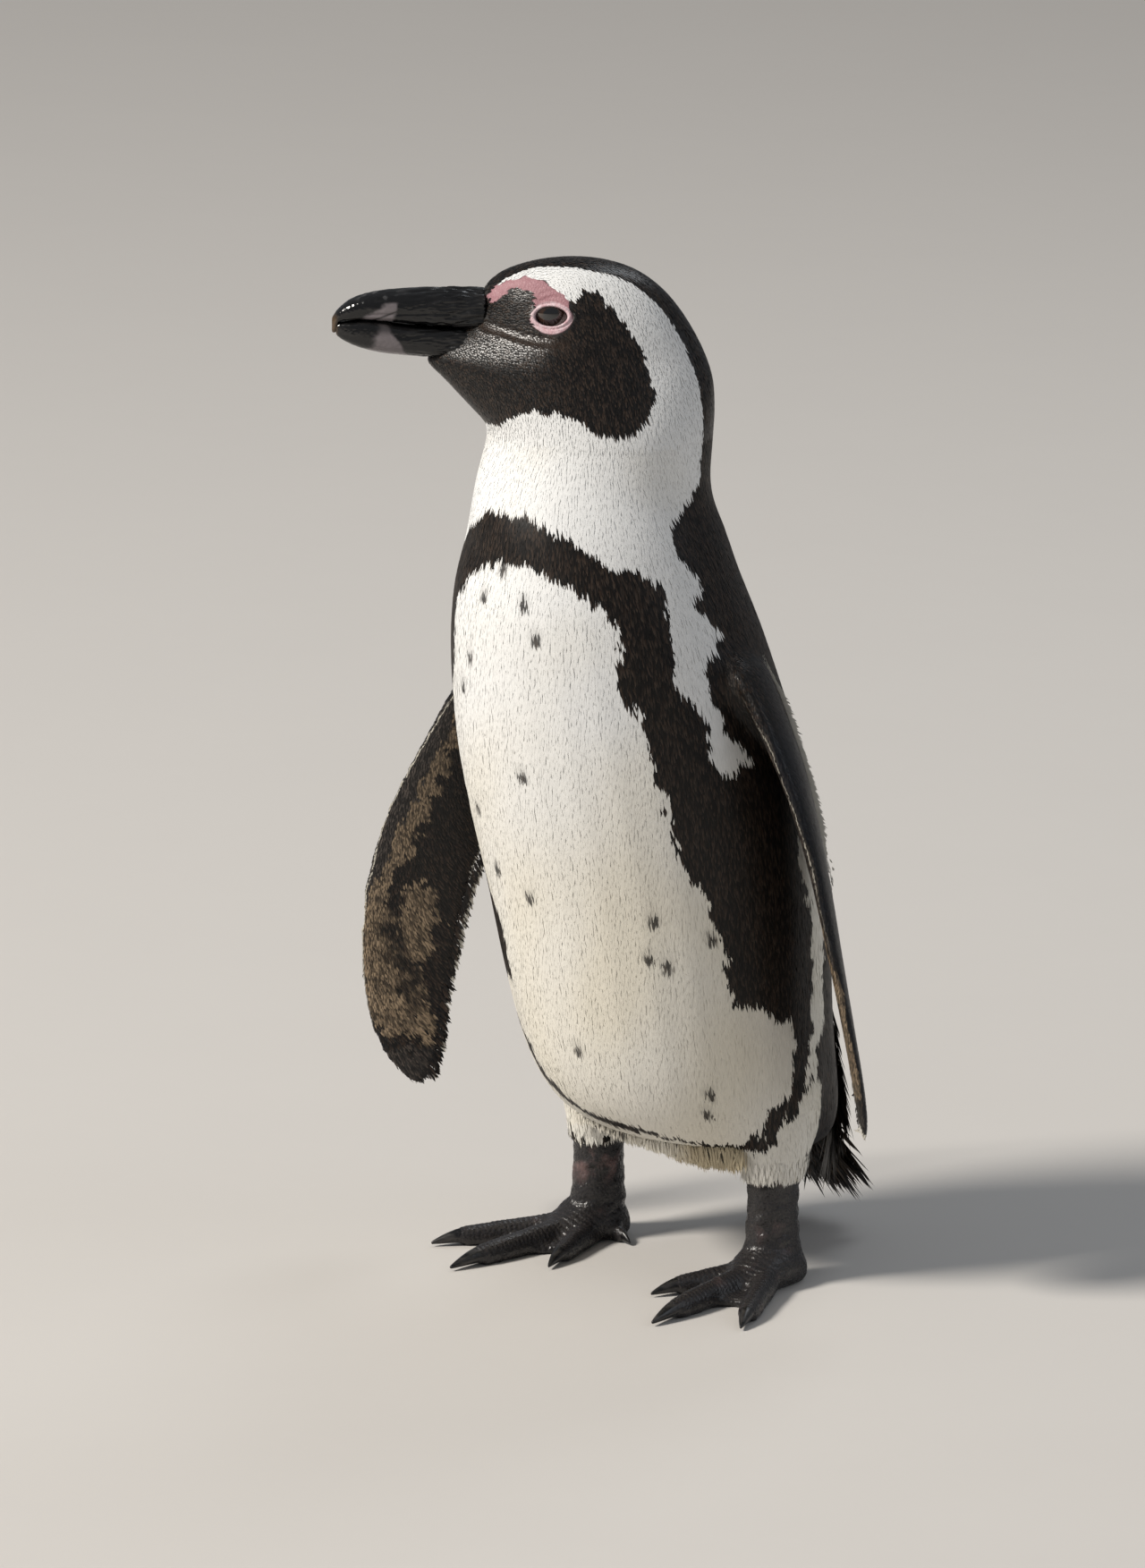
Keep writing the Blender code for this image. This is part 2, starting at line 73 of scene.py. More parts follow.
# Markings of the left half of the body: (degrees from the front, height). The
# right half mirrors them about MIDLINE.
MIDLINE = 5.5
DARK_BAND = (
    (5.5, 343), (19, 344), (26, 339), (40, 332), (55, 325), (70, 320), (76, 314), (74, 300), (72, 286),
    (73, 273), (77, 262), (79, 248), (75, 241), (80, 233), (87, 239), (98, 236), (125, 236), (125, 202),
    (107, 200), (104, 191), (107, 171), (107, 111), (102, 99), (98, 91), (93, 84), (88, 76), (77, 70),
    (66, 61), (61, 62), (71, 71), (80, 78), (87, 85), (90, 92), (92, 100), (94, 108), (93, 118),
    (86, 120), (82, 127), (71, 132), (68, 143), (67, 167), (62, 185), (56, 207), (58, 230), (55, 250),
    (56, 259), (51, 277), (52, 288), (54, 303), (45, 312), (30, 319), (14, 325), (5.5, 324),
)
BELLY_LINE = ((5.5, 71), (18, 70), (36, 66), (50, 61), (63, 62), (73, 71), (84, 81))
BELLY_LINE_WIDTH = ((0, 1.7), (0.4, 0.7), (0.7, 1.4), (1, 2.4))
# The band of the right side ends at this height, and lies this much farther forward at each height
RIGHT_BAND_END = 118
RIGHT_SHIFT = ((118, 26), (126, 29), (132, 33), (152, 31), (164, 23), (180, 12), (200, 5), (262, 5),
               (285, 11), (300, 14), (307, 18), (315, 11), (322, 6), (330, 0))
# The dark line that ends the band of the right side and runs on under the belly
RIGHT_LINE = ((-62, 124), (-45, 111), (-31, 103), (-27, 93), (-22, 85), (-15, 78.5), (-7, 74.2), (2, 71.5),
              (16, 69))
RIGHT_LINE_WIDTH = 3.1
# Above this height the black of the back ends at the two lines of the nape, below it at the back's edge
NAPE_FOOT = 235
NAPE_LEFT = ((235, 96), (250, 85), (260, 86), (271, 83), (280, 85), (291, 96), (307, 91), (312, 95),
             (318, 91), (330, 88), (339, 88), (346, 103), (355, 115), (372, 119))
NAPE_RIGHT = ((235, -85), (250, -74), (271, -72), (291, -85), (318, -80), (339, -78), (346, -93),
              (355, -124), (372, -158))
BACK_EDGE = ((45, 90), (73, 95), (95, 106), (115, 117), (150, 119), (185, 119), (200, 107), (235, 96))
THIGH_BACK = 26.0
BREAST_SPOTS = ((4, 321), (-5, 308), (16, 308), (21, 294), (-14, 280), (-21, 265), (8, 232), (-24, 209),
                (-18, 183), (-1, 175), (45, 171), (64, 162), (42, 154), (48, 150), (8, 107), (56, 90),
                (53, 80))
SPOT_WIDE, SPOT_TALL = 2.8, 3.2
BREAST_RADIUS = 72

# Markings of the face: (forward, up) seen from the side
MASK = (
    (-7.4, 5.6), (-14.9, 10), (-20.4, 8.9), (-24.9, 2.9), (-31.2, -4.8), (-37.2, -13.4), (-41, -24),
    (-43.1, -34), (-42, -41.5), (-37, -47), (-30, -49.5), (-22.7, -48.3), (-13.7, -43.2), (-3, -39.5),
    (5.9, -38.9), (14.5, -41.5), (23.5, -48), (60, -60), (60, 2), (25, 2.4), (21.6, 4.9), (17.5, 9.2),
    (13, 10.3), (9.3, 9.3), (8.2, 6.6), (8.6, 2.7), (0, 0),
)
PINK_SKIN = (
    (27.6, 6), (24.6, 9.4), (19, 12.4), (11.2, 14.4), (5.6, 14.3), (1.9, 12.3), (-4.1, 10), (-8, 6),
    (-8, -2), (8.6, -2), (8.6, 2.7), (8.2, 6.6), (9.3, 9.3), (13, 10.3), (17.5, 9.2), (21.6, 4.9), (25, 2.4),
)
CROWN_WIDTH = ((-55, 12.5), (-14, 11.5), (5, 7.3), (20, 7.0), (32, 9.0))
NAPE_WIDTH = 16.0
GAPE_FOLD = ((28, -7), (21, -8.2), (12, -9.8), (3, -10.6), (-6, -10))

# The eye: half length and half height of the opening and of the bare ring
EYE_OPENING = (6.7, 3.75)
EYE_RING = (9.1, 6.5)
EYE_TILT = math.radians(-5.0)
RING_LOWER = 0.6
EYE_RADIUS = 10.4
EYE_SET_IN = 0.55
IRIS_RADIUS = 6.9

# Depth of plumage over the skin, and of the bare skin over the eye
DEPTH = {"head": 0.5, "neck": 0.55, "trunk": 0.7, "tail": 1.5, "flipper": 0.4, "thigh": 0.7, "shank": 0.0,
         "foot": 0.0}
BARE_DEPTH = 0.15
# How far solids are grown: to close the cuts between flesh, and to keep horn and claws from shrinking
BRIDGE = 0.32
HORN_GROWTH = 0.15
CLAW_GROWTH = 0.12
# Spacing of the claws' points
CLAW_GRAIN = 0.30
# How strongly each part is smoothed in three rounds
SMOOTHING = {
    "trunk": (1, 1, 1), "neck": (1, 1, 1), "head": (1, 0.9, 0.12), "thigh": (1, 0.8, 0.1),
    "tail": (1, 0.6, 0.2), "flipper": (0.8, 0.28, 0.02), "shank": (0.8, 0.15, 0), "foot": (0.6, 0, 0),
}
SMOOTHING_STEPS = (6, 36, 130)

# Where skin ends on the horn: (forward, up) of a point on the edge and how it slopes
SKIN_ON_BILL = {"bill_upper": (30.5, 0.0, 0.0), "bill_lower": (52.0, -20.0, 1.45)}
SKIN_OVER_HORN = 1.05
CUTICLE = 0.45
CUTICLE_SHARE = 0.30
SCUTE_SIZE = 1.8
TOE_RING_STEP = 2.3

# Height where the feathers of each leg end, and the share of dark ones there
HEM = {"left": (50.0, 0.10), "right": (48.0, 0.40)}
HEM_TALL = 6.5

# Markings under a flipper: (share of the way to the tip, 1 at the leading to -1 at the rear edge)
BLADE_TAN = (
    (0.20, 0.72), (0.26, 0.61), (0.33, 0.61), (0.40, 0.57), (0.46, 0.58), (0.50, 0.61), (0.54, 0.76),
    (0.58, 0.74), (0.61, 0.87), (0.65, 1.0), (0.84, 1.0), (0.89, 0.88), (0.90, 0.38), (0.90, 0.0),
    (0.92, -0.28), (0.93, -0.70), (0.88, -0.70), (0.84, -0.55), (0.79, -0.35), (0.74, -0.41), (0.69, -0.49),
    (0.63, -0.37), (0.60, -0.15), (0.59, 0.05), (0.61, 0.20), (0.66, 0.28), (0.65, 0.49), (0.61, 0.56),
    (0.57, 0.51), (0.54, 0.39), (0.49, 0.31), (0.39, 0.36), (0.30, 0.37), (0.20, 0.48),
)
BLADE_SHADE = ((0.70, 0.10), (0.76, 0.025), (0.84, -0.06))
# The pale line along each leading edge: shares of the way to the tip, and how pale it is
RIM = {"left": (0.07, 0.62, 0.40), "right": (0.12, 0.92, 0.62)}

# A feather's outline: share of its length, of its half width and of its rise
VANE_ROWS = ((0.34, 0.95, 0.50), (0.72, 0.80, 0.86))
QUILL_ROWS = ((0.15, 0.7, 0.3), (0.35, 1.0, 0.6), (0.55, 1.0, 0.8), (0.75, 0.9, 0.9), (0.92, 0.6, 1.0))
COVERT_ROWS = ((0.25, 0.8, 0.4), (0.55, 1.0, 0.8), (0.85, 0.75, 1.0))
# Width of a feather and the rise of its tip over the skin
HEAD_VANE, NECK_VANE, BODY_VANE, FLIPPER_VANE = (0.80, 0.30), (0.80, 0.22), (0.96, 0.27), (0.75, 0.30)
HEM_VANE = (0.8, 0.5)
# How deep a feather is rooted, how high its middle rises, and where its colour is read
ROOT_DEPTH = 0.15
KEEL = 0.07
SEEN_SHARE = 0.74
# How far shading follows the body, for white and for black feathers
SILK_WHITE = 0.66
SILK_BLACK = 0.35
# Size of a feather's patch on its coat's map, where the map is 1 wide
PATCH = 0.003
# Where the trunk's coat is divided, and how many loose feathers each piece has
FRONT_REACH, BACK_START, BREAST_FOOT, UPPER_BACK_FOOT = 52, 118, 175, 190
HEM_COUNT, SKIRT_COUNT, RIM_COUNT, DOWN_COUNT, COVERT_COUNT, QUILL_COUNT = 1500, 3600, 900, 1100, 2000, 480
FRINGE_TEETH, FEATHERS_TO_A_TOOTH = 80, 5
# The values that carry colour: shares of black, warmth, stain, tan, grey, navy and of the brown gape fold
TONES = ("dark", "warm", "stain", "tan", "grey", "navy", "fold")
WHITE, BLACK = "white_feathers", "black_feathers"

# The lamps: (name, degrees round from the front, degrees up, distance, size, colour)
LAMPS = (
    ("key", -22.0, 40.0, 6.0, 1.5, (1.0, 0.95, 0.88)),
    ("fill", 120.0, 30.0, 2.6, 1.6, (0.86, 0.92, 1.0)),
    ("rim", 200.0, 50.0, 2.4, 1.0, (0.90, 0.95, 1.0)),
)
# Power of the rim lamp as a share of the fill lamp's
RIM_LIGHT_SHARE = 1.1


# ---------------------------------------------------------------- settings

def length_setting(name, description, default, low, high):
    """A length in metres that a user may change."""
    return bpy.props.FloatProperty(name=name, description=description, default=default, min=low, max=high,
                                   subtype="DISTANCE", unit="LENGTH", precision=4)


def number_setting(name, description, default, low, high):
    """A plain number that a user may change."""
    return bpy.props.FloatProperty(name=name, description=description, default=default, min=low, max=high)


def angle_setting(name, description, default):
    """An angle that a user may change."""
    return bpy.props.FloatProperty(name=name, description=description, default=default, subtype="ANGLE",
                                   unit="ROTATION")


def colour_setting(name, description, default):
    """A colour that a user may change."""
    return bpy.props.FloatVectorProperty(name=name, description=description, default=default, size=3,
                                         min=0.0, max=1.0, subtype="COLOR")


class PenguinSizes(bpy.types.PropertyGroup):
    """Sizes of the skin and of the feathers."""
    skin_grain: length_setting("Skin grain", "Spacing of the points of the skin", 0.0015, 0.0008, 0.004)
    head_spacing: length_setting("Head spacing", "Distance between feathers of the head",
                                 0.00073, 0.0005, 0.004)
    head_length: length_setting("Head length", "Length of the feathers of the head", 0.0031, 0.001, 0.01)
    neck_spacing: length_setting("Neck spacing", "Distance between feathers of the neck",
                                 0.00075, 0.0005, 0.004)
    neck_length: length_setting("Neck length", "Length of the feathers of the neck", 0.0052, 0.001, 0.02)
    body_spacing: length_setting("Body spacing", "Distance between feathers of the trunk",
                                 0.00088, 0.0006, 0.006)
    body_length: length_setting("Body length", "Length of the feathers of the trunk", 0.0068, 0.002, 0.03)
    flipper_spacing: length_setting("Flipper spacing", "Distance between scale feathers of the flippers",
                                    0.00082, 0.0005, 0.004)
    flipper_length: length_setting("Flipper length", "Length of the scale feathers", 0.0026, 0.001, 0.01)
    fringe_length: length_setting("Fringe length", "Length of the feathers along a flipper's rear edge",
                                  0.0046, 0.001, 0.02)
    tail_length: length_setting("Tail length", "Length of the longest tail feathers", 0.072, 0.02, 0.09)
    bill_grain: length_setting("Bill grain", "Spacing of the points of the bill", 0.00042, 0.0002, 0.002)


class PenguinColours(bpy.types.PropertyGroup):
    """Colours of the plumage, skin and horn."""
    white: colour_setting("White", "White plumage of neck and breast", (0.80, 0.805, 0.80))
    cream: colour_setting("Cream", "Warmer white of the belly", (0.74, 0.70, 0.60))
    stain: colour_setting("Stain", "Tan stain under the belly", (0.50, 0.41, 0.25))
    black: colour_setting("Black", "Black plumage", (0.0060, 0.0050, 0.0045))
    brown: colour_setting("Brown", "Worn brown barbs in the black", (0.034, 0.021, 0.014))
    navy: colour_setting("Navy", "Blue-black of the outer flippers", (0.003, 0.0042, 0.008))
    tan: colour_setting("Tan", "Mottled tan under the flippers", (0.25, 0.185, 0.120))
    pink: colour_setting("Pink", "Bare skin over the eye", (0.36, 0.185, 0.205))
    lid: colour_setting("Lid", "Pale rim of the eyelids", (0.66, 0.54, 0.57))
    leg: colour_setting("Leg", "Black skin of the legs and feet", (0.016, 0.015, 0.016))
    blotch: colour_setting("Blotch", "Pinkish blotches of the legs", (0.17, 0.105, 0.10))
    horn: colour_setting("Horn", "Black horn of the bill", (0.006, 0.006, 0.0065))
    band: colour_setting("Band", "Pale band across the bill", (0.21, 0.185, 0.195))
    iris: colour_setting("Iris", "Dark brown of the eye", (0.012, 0.006, 0.004))


class PenguinStage(bpy.types.PropertyGroup):
    """Viewpoint, floor and lights."""
    azimuth: angle_setting("Azimuth", "Way round the bird to the camera", math.radians(47.0))
    elevation: angle_setting("Elevation", "Height of the camera above level", math.radians(14.5))
    distance: length_setting("Distance", "Distance of the camera", 5.0, 1.0, 20.0)
    aim: bpy.props.FloatVectorProperty(name="Aim", description="Point that the camera looks at",
                                       default=(-0.02413, -0.01367, 0.2094), subtype="TRANSLATION",
                                       unit="LENGTH")
    lens: number_setting("Lens", "Focal length in millimetres", 270.2, 50.0, 1200.0)
    floor: colour_setting("Floor", "Pale floor", (0.60, 0.575, 0.545))
    key_power: number_setting("Key", "Power of the main light in watts", 440.0, 0.0, 5000.0)
    fill_power: number_setting("Fill", "Power of the light opposite, in watts", 7.0, 0.0, 2000.0)
    sky_light: number_setting("Surroundings", "Strength of the even light all round", 0.22, 0.0, 5.0)


# ---------------------------------------------------------------- mesh helpers

def vector_array(collection, name, size, kind=np.float32):
    """A collection's values as an array with one row each."""
    values = np.empty(len(collection) * size, kind)
    collection.foreach_get(name, values)
    return values.reshape(-1, size) if size > 1 else values


def mesh_points(mesh):
    return vector_array(mesh.vertices, "co", 3).astype(float)


def mesh_normals(mesh):
    return vector_array(mesh.vertex_normals, "vector", 3).astype(float)


def mesh_triangles(mesh):
    mesh.calc_loop_triangles()
    return vector_array(mesh.loop_triangles, "vertices", 3, np.int32)


def surface_of(mesh):
    """A mesh's surface, ready for finding the nearest place on it."""
    return BVHTree.FromPolygons(mesh_points(mesh).tolist(), mesh_triangles(mesh).tolist())


def node_mesh(name):
    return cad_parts[name].data


def node_points(name):
    return mesh_points(node_mesh(name))


def middle_of(name):
    """Centre of a solid's box."""
    low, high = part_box(name)
    return (low + high) / 2


def set_points(mesh, points):
    mesh.vertices.foreach_set("co", points.astype(np.float32).ravel())
    mesh.update()


def set_value(mesh, name, values):
    """Store a number or a vector for every point."""
    kind = "FLOAT_VECTOR" if values.ndim == 2 else "FLOAT"
    layer = mesh.attributes.get(name) or mesh.attributes.new(name, kind, "POINT")
    layer.data.foreach_set("vector" if values.ndim == 2 else "value", values.astype(np.float32).ravel())


def get_value(mesh, name):
    layer = mesh.attributes[name]
    if layer.data_type == "FLOAT_VECTOR":
        return vector_array(layer.data, "vector", 3).astype(float)
    return vector_array(layer.data, "value", 1).astype(float)


def mesh_from(shape, name):
    """Turn a bmesh into a mesh."""
    mesh = bpy.data.meshes.new(name)
    shape.to_mesh(mesh)
    shape.free()
    return mesh


def evaluated(made):
    """A new mesh of an object with its modifiers applied."""
    reader = bpy.context.evaluated_depsgraph_get()
    return bpy.data.meshes.new_from_object(made.evaluated_get(reader))


def new_object(name, data):
    """Link a mesh, lamp or camera to the scene under a name."""
    made = bpy.data.objects.new(name, data)
    bpy.context.scene.collection.objects.link(made)
    return made


def finished(made, material, nodes=()):
    """Cover a piece with its material, hang it under the root, and hide the solids that it stands in for."""
    made.data.materials.clear()
    made.data.materials.append(material)
    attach(made, "root")
    if nodes:
        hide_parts(*nodes)


def add_solid(shape, name, grow, cut=None):
    """Add a solid's welded copy to a bmesh, grown or shrunk a little."""
    part = bmesh.new()
    part.from_mesh(node_mesh(name))
    bmesh.ops.remove_doubles(part, verts=part.verts, dist=0.01 * MM)
    part.normal_update()
    shifts = [vertex.normal * grow for vertex in part.verts]
    for vertex, shift in zip(part.verts, shifts):
        vertex.co += shift
    if cut:
        place, way = cut
        everything = part.verts[:] + part.edges[:] + part.faces[:]
        bmesh.ops.bisect_plane(part, geom=everything, plane_co=place, plane_no=way, clear_outer=True)
        bmesh.ops.holes_fill(part, edges=[edge for edge in part.edges if edge.is_boundary])
    mesh = mesh_from(part, "part")
    shape.from_mesh(mesh)
    bpy.data.meshes.remove(mesh)


def remeshed(name, shape, grain):
    """An object with an even mesh over everything in a bmesh."""
    rough = mesh_from(shape, name + "_solids")
    made = new_object(name, rough)
    step = made.modifiers.new("Even mesh", "REMESH")
    step.mode = "VOXEL"
    step.voxel_size = grain
    step.adaptivity = 0.0
    made.data = evaluated(made)
    made.modifiers.clear()
    made.data.name = name
    bpy.data.meshes.remove(rough)
    return made


class Neighbours:
    """Averages over the points joined by an edge."""

    def __init__(self, mesh):
        pairs = vector_array(mesh.edges, "vertices", 2, np.int32)
        start = np.concatenate((pairs[:, 0], pairs[:, 1]))
        order = np.argsort(start, kind="stable")
        start = start[order]
        self.end = np.concatenate((pairs[:, 1], pairs[:, 0]))[order]
        count = len(mesh.vertices)
        self.degree = np.maximum(np.bincount(start, minlength=count), 1)
        self.first = np.minimum(np.searchsorted(start, np.arange(count)), len(start) - 1)

    def relaxed(self, values, rounds, weight=1.0):
        """Values drawn toward their neighbours' mean a number of times."""
        degree = self.degree
        if values.ndim == 2:
            degree = degree[:, None]
            weight = weight[:, None] if isinstance(weight, np.ndarray) else weight
        for _ in range(rounds):
            mean = np.add.reduceat(values[self.end], self.first, axis=0) / degree
            values = values + 0.5 * weight * (mean - values)
        return values


def part_of_points(points, names):
    """Which named solid each point is nearest to, and how far outside the solids it is."""
    corners, faces, owners = [], [], []
    for index, name in enumerate(names):
        triangles = mesh_triangles(node_mesh(name)) + len(corners)
        corners += node_points(name).tolist()
        faces += triangles.tolist()
        owners += [index] * len(triangles)
    tree = BVHTree.FromPolygons(corners, faces)
    part = np.zeros(len(points), int)
    outside = np.zeros(len(points))
    for i, point in enumerate(points.tolist()):
        found, normal, face, apart = tree.find_nearest(point)
        part[i] = owners[face]
        outside[i] = apart if (Vector(point) - found).dot(normal) > 0 else -apart
    return part, outside


# ---------------------------------------------------------------- numbers

def smoothstep(low, high, value):
    """0 before low, 1 past high, and an even turn between."""
    t = np.clip((value - low) / np.where(np.abs(high - low) < 1e-9, 1e-9, high - low), 0.0, 1.0)
    return t * t * (3 - 2 * t)


def hump(value, middle, width):
    """1 at the middle, falling off smoothly to both sides."""
    return np.exp(-((value - middle) / width) ** 2)


def unit(vectors):
    """Rows scaled to length one."""
    return vectors / np.maximum(np.linalg.norm(vectors, axis=-1, keepdims=True), 1e-12)


def along_surface(ways, normals):
    """Ways turned to lie flat on a surface."""
    return unit(ways - normals * (ways * normals).sum(axis=1, keepdims=True))


def read_table(table, value):
    """Straight interpolation in rows of (place, size)."""
    places, sizes = zip(*table)
    return np.interp(value, places, sizes)


def inside(outline, across, up):
    """Which points lie inside a closed outline."""
    corners = np.array(outline, float)
    found = np.zeros(len(across), bool)
    for (x0, y0), (x1, y1) in zip(corners, np.roll(corners, -1, axis=0)):
        if y0 != y1:
            found ^= ((y0 > up) != (y1 > up)) & (across < (x1 - x0) * (up - y0) / (y1 - y0) + x0)
    return found


def distance_to_line(line, across, up):
    """Distance to a broken line, and the share of its length there."""
    points = np.array(line, float)
    best = np.full(len(across), 1e9)
    share = np.zeros(len(across))
    here = np.stack((across, up), axis=1)
    for i, (start, end) in enumerate(zip(points, points[1:])):
        run = end - start
        t = np.clip((here - start) @ run / (run @ run), 0, 1)
        apart = np.linalg.norm(here - start - t[:, None] * run, axis=1)
        nearer = apart < best
        best[nearer] = apart[nearer]
        share[nearer] = (i + t[nearer]) / (len(points) - 1)
    return best, share


def wobble(points, size, seed):
    """A smooth irregular value from -1 to 1 that changes over the given size."""
    rng = np.random.default_rng(seed)
    waves = unit(rng.normal(size=(9, 3))) * rng.uniform(0.7, 1.6, (9, 1)) * (2 * math.pi / size)
    phases = rng.uniform(0, 2 * math.pi, 9)
    return np.clip(np.sin(points @ waves.T + phases).sum(axis=1) / 3.6, -1, 1)


def frayed(value, points, *waves):
    """A value shifted a little from place to place, by waves of (amount, size, seed)."""
    for amount, size, seed in waves:
        value = value + amount * wobble(points, size, seed)
    return value


# ---------------------------------------------------------------- places on the bird

class Torso:
    """The trunk's upright axis, found from its front and back lines."""

    def __init__(self):
        points = node_points("trunk")
        self.x = (points[:, 0].min() + points[:, 0].max()) / 2
        line = points[np.abs(points[:, 0] - self.x) < 1.0 * MM]
        centre = (line[:, 1].min() + line[:, 1].max()) / 2
        halves = (line[line[:, 1] < centre], line[line[:, 1] >= centre])
        self.lines = [half[np.argsort(half[:, 2])] for half in halves]
        self.top = points[:, 2].max()

    def axis_y(self, height):
        height = np.minimum(height, self.top)
        front, back = (np.interp(height, line[:, 2], line[:, 1]) for line in self.lines)
        return (front + back) / 2

    def place(self, points):
        """Degrees round the body from the front, plus to the left, and height in mm."""
        across = points[:, 0] - self.x
        behind = points[:, 1] - self.axis_y(points[:, 2])
        return np.degrees(np.arctan2(across, -behind)), points[:, 2] / MM


class Face:
    """The head's own directions, from the two eyes."""

    def __init__(self):
        left, right = middle_of("eye_left"), middle_of("eye_right")
        self.centre = np.array((left + right) / 2)
        side = (left - right).normalized()
        self.left = np.array((side.x, side.y, 0.0))
        self.ahead = np.array((side.y, -side.x, 0.0))

    def place(self, points):
        """Forward, left and up in mm."""
        offset = (points - self.centre) / MM
        return offset @ self.ahead, offset @ self.left, offset[:, 2]

    def point(self, forward, left, up):
        return self.centre + (self.ahead * forward + self.left * left + np.array((0, 0, up))) * MM


class Blade:
    """A flipper's centre line and chord, found slice by slice down its length."""

    def __init__(self, side):
        points = node_points("flipper_" + side)
        self.side = side
        self.part = FLESH.index("flipper_" + side)
        self.outward = 1.0 if points[:, 0].mean() > 0 else -1.0
        self.low, self.high = points[:, 2].min(), points[:, 2].max()
        self.levels = np.linspace(self.low + 3 * MM, self.high - 8 * MM, 16)
        slices = [self.slice(points[np.abs(points[:, 2] - level) < 9 * MM][:, :2]) for level in self.levels]
        centres, chords, reaches = zip(*slices)
        self.centres = np.array(centres)
        self.chords = unit(np.array(chords))
        self.reaches = np.array(reaches)

    @staticmethod
    def slice(near):
        """Centre, chord and half chord of one slice."""
        middle = near.mean(axis=0)
        chord = np.linalg.svd(near - middle, full_matrices=False)[2][0]
        chord = chord if chord[1] < 0 else -chord
        run = (near - middle) @ chord
        return middle + chord * (run.max() + run.min()) / 2, chord, (run.max() - run.min()) / 2

    def read(self, rows, height):
        return np.stack([np.interp(height, self.levels, column) for column in rows.T], axis=-1)

    def height(self, along):
        """Height of a place that is a share of the way to the tip."""
        return self.high - along * (self.high - self.low)

    def at(self, height):
        """Centre, chord toward the leading edge, half chord and way to the tip at some heights."""
        flat = self.read(self.centres, height)
        chord = unit(self.read(self.chords, height))
        reach = np.interp(height, self.levels, self.reaches)
        step = 4 * MM
        down = self.read(self.centres, height - step) - self.read(self.centres, height + step)
        level = np.full(len(flat), 0.0)
        tipward = unit(np.column_stack((down, level - 2 * step)))
        return np.column_stack((flat, height)), np.column_stack((chord, level)), reach, tipward

    def place(self, points):
        """Share of the way to the tip, place across (1 at the leading edge) and mm outward."""
        centre, chord, reach, _ = self.at(points[:, 2])
        offset = points - centre
        along = (self.high - points[:, 2]) / (self.high - self.low)
        across = (offset * chord).sum(axis=1) / np.maximum(reach, 1 * MM)
        normal = np.cross(chord, np.array((0, 0, 1.0)))
        normal *= np.where(normal[:, :1] * self.outward > 0, 1.0, -1.0)
        return along, across, (offset * normal).sum(axis=1) / MM

    def unwrap(self, points):
        """A map of the flipper with its two faces side by side."""
        along, across, outward = self.place(points)
        return np.where(outward > 0, 2.3 + across, -across), -along


TORSO = Torso()
FACE = Face()
BLADES = {side: Blade(side) for side in SIDES}
BILL_TIP = FACE.point(91, 0, -8)
TAIL_LOW, TAIL_HIGH = (np.array(corner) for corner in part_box("tail"))
TAIL_ROOT = np.array((TORSO.x, TAIL_LOW[1] - 0.018, TAIL_HIGH[2] + 0.016))
TAIL_TIP = np.array((TORSO.x, TAIL_HIGH[1] - 0.003, TAIL_LOW[2] + 0.002))
TAIL_WAY = unit(TAIL_TIP - TAIL_ROOT)
TAIL_SPAN = np.linalg.norm(TAIL_TIP - TAIL_ROOT)


# ---------------------------------------------------------------- markings

def mirrored(angle):
    """The same place on the left half of the body."""
    return MIDLINE + np.abs(angle - MIDLINE)


def breast_spots(points, angle, height):
    """How dark the small spots of the breast are, each with a faint halo above it."""
    spots = np.zeros(len(points))
    for place, level in BREAST_SPOTS:
        across = np.radians(angle - place) * BREAST_RADIUS / SPOT_WIDE
        reach = np.hypot(across, (height - level) / SPOT_TALL) + 0.12 * wobble(points, 0.003, 15)
        halo = np.hypot(across * 0.8, (height - level - 2.5) / SPOT_TALL)
        spots = np.maximum(spots, 0.92 - smoothstep(0.55, 1.20, reach))
        spots = np.maximum(spots, 0.16 * (1 - smoothstep(0.6, 1.6, halo)))
    return spots


def body_dark(points, thigh):
    """How black the trunk, neck and thighs are."""
    angle, height = TORSO.place(points)
    spots = breast_spots(points, angle, height)
    angle = frayed(angle, points, (1.7, 0.016, 11), (1.5, 0.006, 12))
    height = frayed(height, points, (1.5, 0.013, 13), (0.8, 0.006, 14))
    half = mirrored(angle)
    right = angle < MIDLINE
    forward = half + right * read_table(RIGHT_SHIFT, height)
    dark = inside(DARK_BAND, forward, height) & ~(right & (height < RIGHT_BAND_END))
    apart, share = distance_to_line(BELLY_LINE, half, height)
    dark |= ~right & (apart < read_table(BELLY_LINE_WIDTH, share))
    dark |= distance_to_line(RIGHT_LINE, angle, height)[0] < RIGHT_LINE_WIDTH
    nape = (angle > read_table(NAPE_LEFT, height)) | (angle < read_table(NAPE_RIGHT, height))
    back = half > read_table(BACK_EDGE, height) + THIGH_BACK * thigh
    return np.maximum(spots, dark | np.where(height < NAPE_FOOT, back, nape))


def crown_dark(forward, left, up):
    """Black stripe over the top and back of the head."""
    width = read_table(CROWN_WIDTH, forward)
    width = width + (NAPE_WIDTH - width) * smoothstep(-8, -44, up) * (forward < 0)
    return (np.abs(left) < width) & ((up > 2) | (forward < -12))


def frayed_face(forward, up, points, coarse, fine):
    """Places on the face shifted a little, so that the edges of its markings fray."""
    return (frayed(forward, points, (coarse, 0.009, 21), (fine, 0.004, 22)),
            frayed(up, points, (coarse, 0.009, 23), (fine, 0.004, 24)))


def head_dark(points):
    """1 where the head is black."""
    forward, left, up = FACE.place(points)
    forward, up = frayed_face(forward, up, points, 0.9, 0.4)
    mask = inside(MASK, forward, up)
    mask |= inside(PINK_SKIN, forward, up) & (up < 12.5) & (forward > -1)
    return (mask | crown_dark(forward, left, up)).astype(float)


